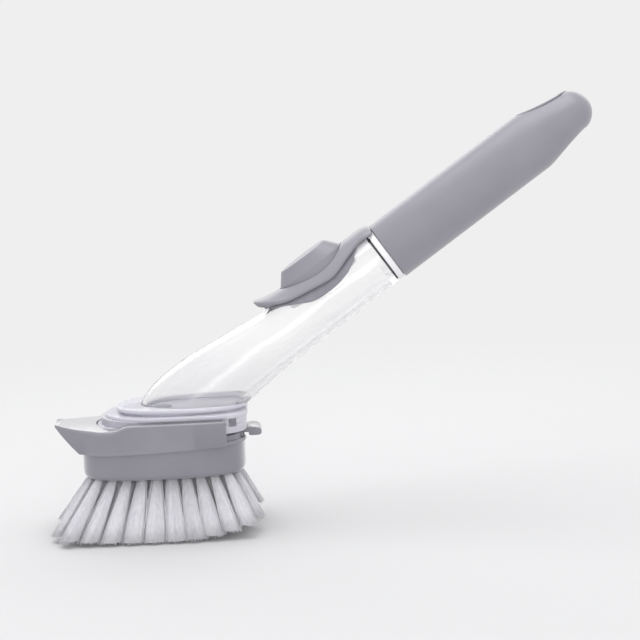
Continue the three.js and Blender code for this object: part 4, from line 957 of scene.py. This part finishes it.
def retainer():
    top = VALVE_SEAT_DEPTH - 2 * SEAT_GAP - VALVE_SHEET
    bottom = top - RETAINER_THICKNESS
    hole, rim = VALVE_DOME_RADIUS + 2 * SEAT_GAP, VALVE_SEAT_RADIUS - SEAT_GAP
    profile = rounded([(hole, bottom), (rim, bottom), (rim, top), (hole, top)], RETAINER_EDGE, 3)
    return shade(revolve_outlet("valve_retainer_ring", profile), angle=40)


# Brush head

def parting(x):
    return PARTING_Z + PARTING_SLOPE * x


def head_ring(inset, z, count=192):
    length, width = HEAD_HALF_LENGTH - inset, HEAD_HALF_WIDTH - inset
    return flat_ring(HEAD_CENTRE_X, z, length, width, HEAD_SQUARENESS, count)


def head_prism(inset, low, high):
    return skin("head_prism", [head_ring(inset, z) for z in (low, high)])


def nose_plan(steps=26):
    cheek, shoulder = (lerp(NOSE_TIP_X, HEAD_CENTRE_X, share) for share in NOSE_BULGE)
    curve = [
        (NOSE_TIP_X + NOSE_EDGE, NOSE_TIP_HALF_WIDTH), (cheek, NOSE_CHEEK * HEAD_HALF_WIDTH),
        (shoulder, HEAD_HALF_WIDTH), (HEAD_CENTRE_X, HEAD_HALF_WIDTH),
    ]
    side = [np.array((NOSE_TIP_X, NOSE_TIP_HALF_WIDTH - NOSE_EDGE))]
    side += [bezier(curve, t) for t in np.linspace(0, 1, steps)]
    return np.array(side + [np.array((x, -y)) for x, y in side[::-1]])


def across(profile, y):
    x, z = np.asarray(profile, float).T
    return np.stack([x, np.full(len(x), y), z], 1)


def half_width_at(x):
    """Half width of the shoe's plan at x."""
    side = nose_plan()
    side = side[:len(side) // 2]
    nose = np.where(x < HEAD_CENTRE_X, np.interp(x, side[:, 0], side[:, 1]), 0.0)
    power = np.where(x < HEAD_CENTRE_X, HEAD_SQUARENESS, REAR_SQUARENESS)
    share = np.clip(1 - np.abs((x - HEAD_CENTRE_X) / HEAD_HALF_LENGTH) ** power, 0, 1)
    return np.maximum(nose, HEAD_HALF_WIDTH * share ** (1 / power))


def top_line():
    """The shoe's top along its middle, from the rim down the ramp and out to the scraper's edge."""
    foot = RAIL_FRONT_X - RAMP_LENGTH
    middle = (RAIL_FRONT_X + foot) / 2
    ramp = ((RAIL_FRONT_X, RIM_Z), (middle, RIM_Z), (middle, NOSE_DIP_Z), (foot, NOSE_DIP_Z))
    bend = (middle - RAMP_LENGTH, NOSE_DIP_Z - 1)
    nose = quadratic((foot, NOSE_DIP_Z), bend, (NOSE_TIP_X, NOSE_TIP_Z), 20)
    return np.array([bezier(ramp, t) for t in np.linspace(0, 1, 24)] + nose[1:])


def crown(x, y):
    """Rise of the nose's top above its plain line, less towards its edges."""
    along = np.clip((x - NOSE_TIP_X) / (PLINTH_FRONT_X - NOSE_TIP_X), 0, 1)
    down = np.clip((RAIL_FRONT_X - x) / RAMP_LENGTH, 0, 1)
    out = np.clip(np.abs(y) / np.maximum(half_width_at(x), 1.0), 0, 1)
    return NOSE_CROWN * smooth(along) * smooth(down) * (1 - out * out / 2)


def edge_round(side):
    """Cutter that rounds the shoe's upper outer edge on one side."""
    nose = np.linspace(EDGE_ROUND_X[0], RAIL_FRONT_X, 36)
    x = np.concatenate([nose, np.linspace(RAIL_FRONT_X, RAIL_REAR_X + 3, 20)[1:]])
    y = half_width_at(x)
    radius = np.interp(x, EDGE_ROUND_X, EDGE_ROUND)
    line = top_line()[::-1]
    top = np.interp(x, line[:, 0], line[:, 1])
    normals = unit(np.stack([-np.gradient(y, x), np.ones(len(x))], 1))
    rings = []
    for here, normal, r, height in zip(np.stack([x, y], 1), normals, radius, top):
        inner = here - normal * r
        low = height + crown(*here) - r
        high = np.interp(inner[0], line[:, 0], line[:, 1]) + crown(*inner)
        section = [(here + normal * EDGE_OVER, high + EDGE_OVER), (here + normal * EDGE_OVER, low)]
        for a in np.radians(np.linspace(0, 90, 9)):
            inset = r * (1 - math.cos(a)) - EDGE_LAP
            section.append((here - normal * inset, low + (high - low) * math.sin(a)))
        section.append((inner, high + EDGE_OVER))
        rings.append([(p[0], side * p[1], z) for p, z in section])
    return skin("edge_round", rings)


def rail_block(low, high):
    """All in front of the side walls' rear ends."""
    return raised(rounded_plan(2 * HEAD_FRONT_X, RAIL_REAR_X, HEAD_HALF_WIDTH, RAIL_END_ROUND), low, high)


def wall_ends(low, high):
    """The squarer rear end of both side walls."""
    x = np.linspace(HEAD_CENTRE_X, RAIL_REAR_X, 40)
    y = half_width_at(x)
    plan = np.concatenate([np.stack([x, -y], 1), np.stack([x, y], 1)[::-1]])
    front = rounded_plan(2 * NOSE_TIP_X, RAIL_REAR_X, HEAD_HALF_WIDTH, RAIL_END_ROUND)
    return keep(raised(plan, low, high), raised(front, low, high))


def bead():
    """Lip round the shoe's lower edge, which overhangs the block along the slanted parting."""
    rings = []
    for inset, rise in BEAD:
        ring = head_ring(inset, 0.0)
        ring[:, 2] = parting(ring[:, 0]) + rise
        rings.append(ring)
    return make("bead", *loft(rings, round_trip=True))


def shoe():
    """The head's upper shell: scraper nose, walls with rails, pocket for the plinth and slot for the tab."""
    front, rear, low, high = HEAD_FRONT_X, HEAD_REAR_X, HEAD_LOW_Z, HEAD_HIGH_Z
    wide, beyond = HEAD_HALF_WIDTH + OVERCUT, 3 * HEAD_REAR_X
    back = [
        (front, parting(front)), (rear, parting(rear)), (rear, SHOE_FLOOR_Z),
        (RAIL_REAR_X, SHOE_FLOOR_Z), (RAIL_REAR_X, RIM_Z),
    ]
    bend = (front - NOSE_UNDER[0], parting(front) + NOSE_UNDER[1])
    under = quadratic((NOSE_TIP_X, NOSE_TIP_Z - NOSE_EDGE), bend, (front, parting(front)), 16)[:-1]
    top = top_line()
    rings = []
    for y in np.linspace(-wide, wide, 41):
        lifted = np.column_stack([top[:, 0], top[:, 1] + crown(top[:, 0], y)])
        rings.append(across(np.concatenate([back, lifted, under]), y))
    obj = skin("head_shoe_skin", rings)
    keep(obj, join(head_prism(0, low, high), raised(nose_plan(), low, high), wall_ends(low, high)))
    cut(obj, edge_round(1), edge_round(-1))
    join(obj, bead())
    pocket_front, pocket_width = PLINTH_FRONT_X - SLIDE_GAP, HEAD_HALF_WIDTH - SHOE_WALL
    pocket = rounded_plan(pocket_front, 2 * rear, pocket_width, PLINTH_CORNER)
    mouth = rounded_plan(pocket_front, 2 * rear, pocket_width - RAIL_DEPTH, PLINTH_CORNER)
    shelf = parting(rear) + REAR_RECESS
    recess = cut(
        box(HEAD_CENTRE_X, beyond, wide, shelf, SHOE_FLOOR_Z + OVERCUT), rail_block(low, high),
        head_prism(REAR_RECESS, low, SHOE_FLOOR_Z - REAR_SLOT),
    )
    cut(
        obj,
        raised(pocket, SHOE_FLOOR_Z, RIM_Z - RAIL_HEIGHT),
        raised(mouth, SHOE_FLOOR_Z, high),
        head_prism(SHOE_WALL, low, SHOE_FLOOR_Z - SHOE_FLOOR),
        box(TAB_ROOT_X - SEAT_GAP, beyond, TAB_HALF_WIDTH + SEAT_GAP, low, SHOE_FLOOR_Z + OVERCUT),
        cylinder(SHOE_FLOOR_Z - 9 * OVERCUT, SHOE_FLOOR_Z + 9 * OVERCUT, OUTLET_RADIUS),
        cut(box(HEAD_CENTRE_X, beyond, wide, SHOE_FLOOR_Z, high), rail_block(low, 2 * high)),
        recess,
    )
    return shade(obj, angle=30, bevel=HEAD_BEVEL)


def tab():
    """The tongue with its rolled end and its catch."""
    top = SHOE_FLOOR_Z - SEAT_GAP
    bottom = top - TAB_THICKNESS
    crest, heel = top + TAB_LIP_RISE, bottom - TAB_LIP_DROP
    lip, end, edge, catch_end = TAB_END_X - TAB_LIP_LENGTH, TAB_END_X, TAB_EDGE, CATCH_X + CATCH_LENGTH
    profile = [(TAB_ROOT_X, bottom)]
    profile += quadratic((lip, bottom), (lip, heel), (lip + edge, heel), 6)
    profile += quadratic((end - edge, heel), (end, heel), (end, heel + edge), 6)
    profile += quadratic((end, heel + edge), (end, crest), (end - 4 * edge, crest), 12)[1:]
    profile += [
        (lip + edge, crest), (lip, top), (catch_end, top), (CATCH_X + CATCH_LENGTH / 2, top + CATCH_HEIGHT),
        (CATCH_X, top + CATCH_HEIGHT), (CATCH_X, top), (TAB_ROOT_X, top),
    ]
    obj = skin("release_tab_skin", [across(profile, y) for y in (-TAB_HALF_WIDTH, TAB_HALF_WIDTH)])
    plan = rounded_plan(0.0, TAB_END_X, TAB_HALF_WIDTH, TAB_CORNER)
    keep(obj, raised(plan, heel - OVERCUT, crest + 2 * CATCH_HEIGHT))
    return shade(obj, angle=30, bevel=HEAD_BEVEL)


def tuft_rows():
    """Places of the tufts, row by row, staggered and clear of the outlet."""
    rows = []
    for row in range(ROWS):
        y = (row - (ROWS - 1) / 2) * ROW_PITCH
        share = (1 - abs(y / FIELD_HALF_WIDTH) ** HEAD_SQUARENESS) ** (1 / HEAD_SQUARENESS)
        half = 0.5 if int(abs(y) / ROW_PITCH) % 2 == 0 else 0.0
        most = math.floor(FIELD_HALF_LENGTH * share / TUFT_PITCH - half)
        first = -most if half == 0 else -most - 1
        places = [HEAD_CENTRE_X + (k + half) * TUFT_PITCH for k in range(first, most + 1)]
        rows.append([(x, y) for x in places if math.hypot(x - OUTLET_X, y) > OUTLET_RADIUS + TUFT_ROOM])
    return rows


def fan(x, y):
    """Lean of a tuft along and across the rows."""
    along = (x - HEAD_CENTRE_X) / FIELD_HALF_LENGTH
    return along * (FAN_FRONT if along < 0 else FAN_REAR), y / FIELD_HALF_WIDTH * FAN_SIDE


def trim(x, y):
    """Height of a tuft's tips."""
    along = (x - HEAD_CENTRE_X) / FIELD_HALF_LENGTH
    rise = (TRIM_FRONT if along < 0 else TRIM_REAR) * along ** 2
    return max(0.0, rise + TRIM_SIDE * (y / FIELD_HALF_WIDTH) ** 2 - STAND_CUT)


def tuft_hole(x, y, count=20):
    """A slanted bore through the block's floor."""
    lean = fan(x, y)
    rings = []
    for z in (BLOCK_BOTTOM_Z - OVERCUT, CARRIER_Z + OVERCUT):
        drop = CARRIER_Z - z
        ring = flat_ring(x + lean[0] * drop, z, TUFT_HOLE_RADIUS, TUFT_HOLE_RADIUS, count=count)
        ring[:, 1] += y + lean[1] * drop
        rings.append(ring)
    return loft(rings)


def block():
    """The tray under the slanted parting, with room for the tab and a hole for each tuft."""
    floor_z = BLOCK_BOTTOM_Z + BLOCK_FLOOR
    rings = []
    for a in np.radians(np.linspace(0, 90, 12)):
        inset = BLOCK_INSET + BLOCK_FILLET / 2 * (1 - math.sin(a))
        rings.append(head_ring(inset, BLOCK_BOTTOM_Z + BLOCK_FILLET * FILLET_RISE * (1 - math.cos(a))))
    rings.append(head_ring(BLOCK_INSET, BLOCK_TOP_Z))
    obj = skin("bristle_block_skin", rings)
    far = 2 * HEAD_HALF_LENGTH
    above = [(-far, parting(-far) - PARTING_GAP), (far, parting(far) - PARTING_GAP), (far, FAR), (-far, FAR)]
    holes = gather([tuft_hole(x, y) for tufts in tuft_rows() for x, y in tufts])
    cut(
        obj,
        head_prism(BLOCK_INSET + BLOCK_WALL, floor_z, BLOCK_TOP_Z + OVERCUT),
        skin("above", [across(above, y) for y in (-far, far)]),
        cylinder(BLOCK_BOTTOM_Z - 2 * OVERCUT, floor_z + OVERCUT, OUTLET_RADIUS),
        box(HEAD_CENTRE_X, far, TAB_HALF_WIDTH + SLIDE_GAP, parting(HEAD_REAR_X) - TAB_ROOM, FAR),
        make("holes", *holes),
    )
    return shade(obj, angle=32)


def held_in(x, y, away):
    """Sideways spread of a tuft, less towards the outside of the head for an outer one."""
    place = np.array([(x - HEAD_CENTRE_X) / FIELD_HALF_LENGTH, y / FIELD_HALF_WIDTH])
    outward = np.asarray(away) * place > 0
    return np.where(outward, away * (1 - OUTWARD_SPLAY * place ** 2), away)


def tuft_core(x, y, lean, top, tip_z, rng, sides=18):
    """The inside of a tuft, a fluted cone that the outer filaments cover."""
    a = around(sides)
    flute = 1 + CORE_FLUTE * rng.uniform(-1, 1, sides)
    away = held_in(x, y, np.stack([np.cos(a), np.sin(a)], 1)) * flute[:, None]
    drop = top - tip_z - CORE_SHORT
    rings = []
    for t in CORE_PLACES:
        radius = CORE_FILL * (TUFT_RADIUS + TUFT_SPLAY * drop * t)
        plan = np.array([x, y]) + np.array(lean) * drop * t + radius * away
        rings.append(at_height(plan, top - drop * t))
    return loft(rings)


def filament(x, y, lean, top, tip_z, share, rng, sides=4):
    """One fine filament, bowed a little and cut at its own height."""
    r = math.sqrt(share)
    a = rng.uniform(0, 2 * math.pi)
    away = held_in(x, y, np.array([r * math.cos(a), r * math.sin(a)]))
    run = np.array(lean) + TUFT_SPLAY * away + rng.normal(0, FILAMENT_STRAY, 2)
    uneven = rng.uniform(0.0, TIP_UNEVEN) * (1 if rng.random() > SHORT_SHARE else SHORT_TIMES)
    drop = top - tip_z - uneven
    bow = rng.uniform(*FILAMENT_BOW)
    radius = rng.uniform(*FILAMENT_RADIUS)
    a = around(sides) + rng.uniform(0, math.pi)
    rings = []
    for t in FILAMENT_PLACES:
        cx, cy = np.array([x, y]) + TUFT_RADIUS * away + run * drop * t + bow * away * math.sin(math.pi * t)
        q = radius * (1.0 if t < 1 else FILAMENT_TIP)
        rings.append(np.stack([cx + q * np.cos(a), cy + q * np.sin(a), np.full(sides, top - drop * t)], 1))
    return loft(rings)


def bristles(name, tufts, rng, per_tuft=84):
    """One carrier's tufts: a packed core each, with fine filaments round it."""
    parts, cores = [], []
    for x, y in tufts:
        place = (x, y, fan(x, y), CARRIER_Z + TUFT_ROOT, trim(x, y))
        tuft = [tuft_core(*place, rng)]
        tuft += [filament(*place, (k + 0.5) / per_tuft, rng) for k in range(per_tuft)]
        for i, (points, faces) in enumerate(tuft):
            parts.append((points, [face[::-1] for face in faces]))
            cores += [int(i == 0)] * len(faces)
    obj = plain(name, *gather(parts))
    polygons = obj.data.polygons
    polygons.foreach_set("use_smooth", np.ones(len(polygons), bool))
    polygons.foreach_set("material_index", cores)
    return obj


# Dressed pieces
dress(grip(), "handle", "grey_plastic", GREY, "handle_grip")
dress(collar(), "handle", "clear_plastic", CLEAR_BAND, "handle_collar")
dress(seal(), "seal", "dark_seal", SEAL, "mouth_seal")
shell = dress(tube(), "reservoir", "clear_plastic", CLEAR_TUBE, "reservoir_tube")
also(shell, CLEAR_LIP, foot_lip_part)
also(shell, CLEAR_BAND, end_part)
dress(neck_thread(), "reservoir", "clear_plastic", CLEAR)
dress(bezel(), "reservoir", "grey_plastic", GREY, "button_bezel")
dress(button(), "button", "grey_plastic", GREY, "button_cap")
pump = dress(diaphragm(), "reservoir", "grey_silicone", SILICONE, "pump_diaphragm")
also(pump, CLEAR_CUP, cup_part)
plinth = dress(base(), "reservoir", "clear_plastic", CLEAR_LIP, "base_plate")
# painted shade in the plinth's groove between the rails
also(plinth, PAINTED_SHADE_GROOVE_PLASTIC, groove_shade_paint_part)
dress(valve(), "reservoir", "pale_silicone", PALE_SILICONE, "outlet_valve")
dress(retainer(), "reservoir", "white_plastic", WHITE, "valve_retainer")
dress(shoe(), "brush_head", "head_plastic", HEAD_GREY, "head_shoe")
dress(tab(), "tab", "head_plastic", HEAD_GREY, "release_tab")
dress(block(), "brush_head", "head_plastic", HEAD_GREY, "bristle_block")
rng = np.random.default_rng(TUFT_SEED)
rows = tuft_rows()
for name, own in (
    ("bristles_right_outer", rows[:1]), ("bristles_right_inner", rows[1:3]),
    ("bristles_left_inner", rows[3:5]), ("bristles_left_outer", rows[5:]),
):
    carrier = bristles(name + "_tufts", sum(own, []), rng)
    dress(carrier, "brush_head", "bristle_nylon", NYLON, name)
    carrier.data.materials.append(NYLON_CORE)


# Stage, light and camera

def floor():
    """Plain pale floor that fades into the backdrop away from the object."""
    h = FLOOR_HALF_SIZE
    mesh = bpy.data.meshes.new("floor")
    mesh.from_pydata([(-h, -h, 0), (h, -h, 0), (h, h, 0), (-h, h, 0)], [], [(0, 1, 2, 3)])
    obj = add("floor", mesh)
    obj.location.z = FLOOR_Z
    s = Surface("floor_paper")
    pale = (FLOOR_ALBEDO, FLOOR_ALBEDO, FLOOR_ALBEDO, 1)
    put(s.shader, {"Base Color": pale, "Roughness": 0.9, "Specular IOR Level": 0.1})
    length = s.node("VectorMath")
    length.operation = "LENGTH"
    fade = s.node("MapRange")
    fade.interpolation_type = "SMOOTHSTEP"
    put(fade, {"From Min": FLOOR_FADE[0], "From Max": FLOOR_FADE[1]})
    s.link(s.coords, length.inputs[0])
    s.link(length.outputs["Value"], fade.inputs["Value"])
    s.blend(fade.outputs["Result"], s.node("BsdfTransparent"))
    mesh.materials.append(s.material)


def world():
    """Even grey light. What is seen straight on, in a reflection or through clear plastic is the backdrop."""
    w = bpy.data.worlds.new("studio")
    bpy.context.scene.world = w
    w.use_nodes = True
    nodes, links = w.node_tree.nodes, w.node_tree.links
    nodes.clear()
    path = nodes.new("ShaderNodeLightPath")
    shader = None
    for color, ray in (
        (AMBIENT, None),
        ((MIRRORED,) * 3, "Is Glossy Ray"),
        ((SEEN_THROUGH,) * 3, "Is Transmission Ray"),
        ((BACKGROUND,) * 3, "Is Camera Ray"),
    ):
        back = put(nodes.new("ShaderNodeBackground"), {"Color": (*color, 1)})
        if ray is None:
            shader = back.outputs["Background"]
            continue
        mix = nodes.new("ShaderNodeMixShader")
        links.new(path.outputs[ray], mix.inputs["Fac"])
        links.new(shader, mix.inputs[1])
        links.new(back.outputs["Background"], mix.inputs[2])
        shader = mix.outputs["Shader"]
    links.new(shader, nodes.new("ShaderNodeOutputWorld").inputs["Surface"])


def lamp(name, place, target, size, power):
    data = bpy.data.lights.new(name, "AREA")
    data.shape = "RECTANGLE"
    data.size, data.size_y = size
    data.energy = power
    obj = add(name, data)
    obj.location = place
    obj.rotation_euler = (Vector(target) - Vector(place)).to_track_quat("-Z", "Y").to_euler()
    return obj


def camera():
    azimuth, elevation, roll = np.radians((CAMERA_AZIMUTH, CAMERA_ELEVATION, CAMERA_ROLL)).tolist()
    target = Vector(((TARGET_X + SHIFT) * MM, 0, TARGET_Z))
    level = math.cos(elevation)
    back = Vector((math.sin(azimuth) * level, -math.cos(azimuth) * level, math.sin(elevation)))
    right = Vector((math.cos(azimuth), math.sin(azimuth), 0))
    up = back.cross(right)
    data = bpy.data.cameras.new("camera")
    data.sensor_width = SENSOR_WIDTH
    data.lens = PIXELS_PER_MM * CAMERA_DISTANCE / MM / PICTURE_SIZE * SENSOR_WIDTH
    data.clip_start, data.clip_end = CAMERA_CLIP
    tilt_right = right * math.cos(roll) - up * math.sin(roll)
    tilt_up = up * math.cos(roll) + right * math.sin(roll)
    turn = Matrix((tilt_right, tilt_up, back)).transposed()
    obj = add("camera", data)
    obj.matrix_world = Matrix.Translation(target + back * CAMERA_DISTANCE) @ turn.to_4x4()
    bpy.context.scene.camera = obj


floor()
world()
lamp("key", (-0.1, -0.05, 1.1), (0, 0, 0.1), (1.0, 0.8), 4.6)
lamp("back", (0.0, 1.0, 0.65), (0, 0, 0.1), (1.8, 0.6), 3.8)
lamp("fill", (0.0, -1.8, 0.45), (0, 0, 0.08), (0.9, 0.5), 7.5).visible_glossy = False
camera()
bpy.context.scene.view_settings.view_transform = "Standard"
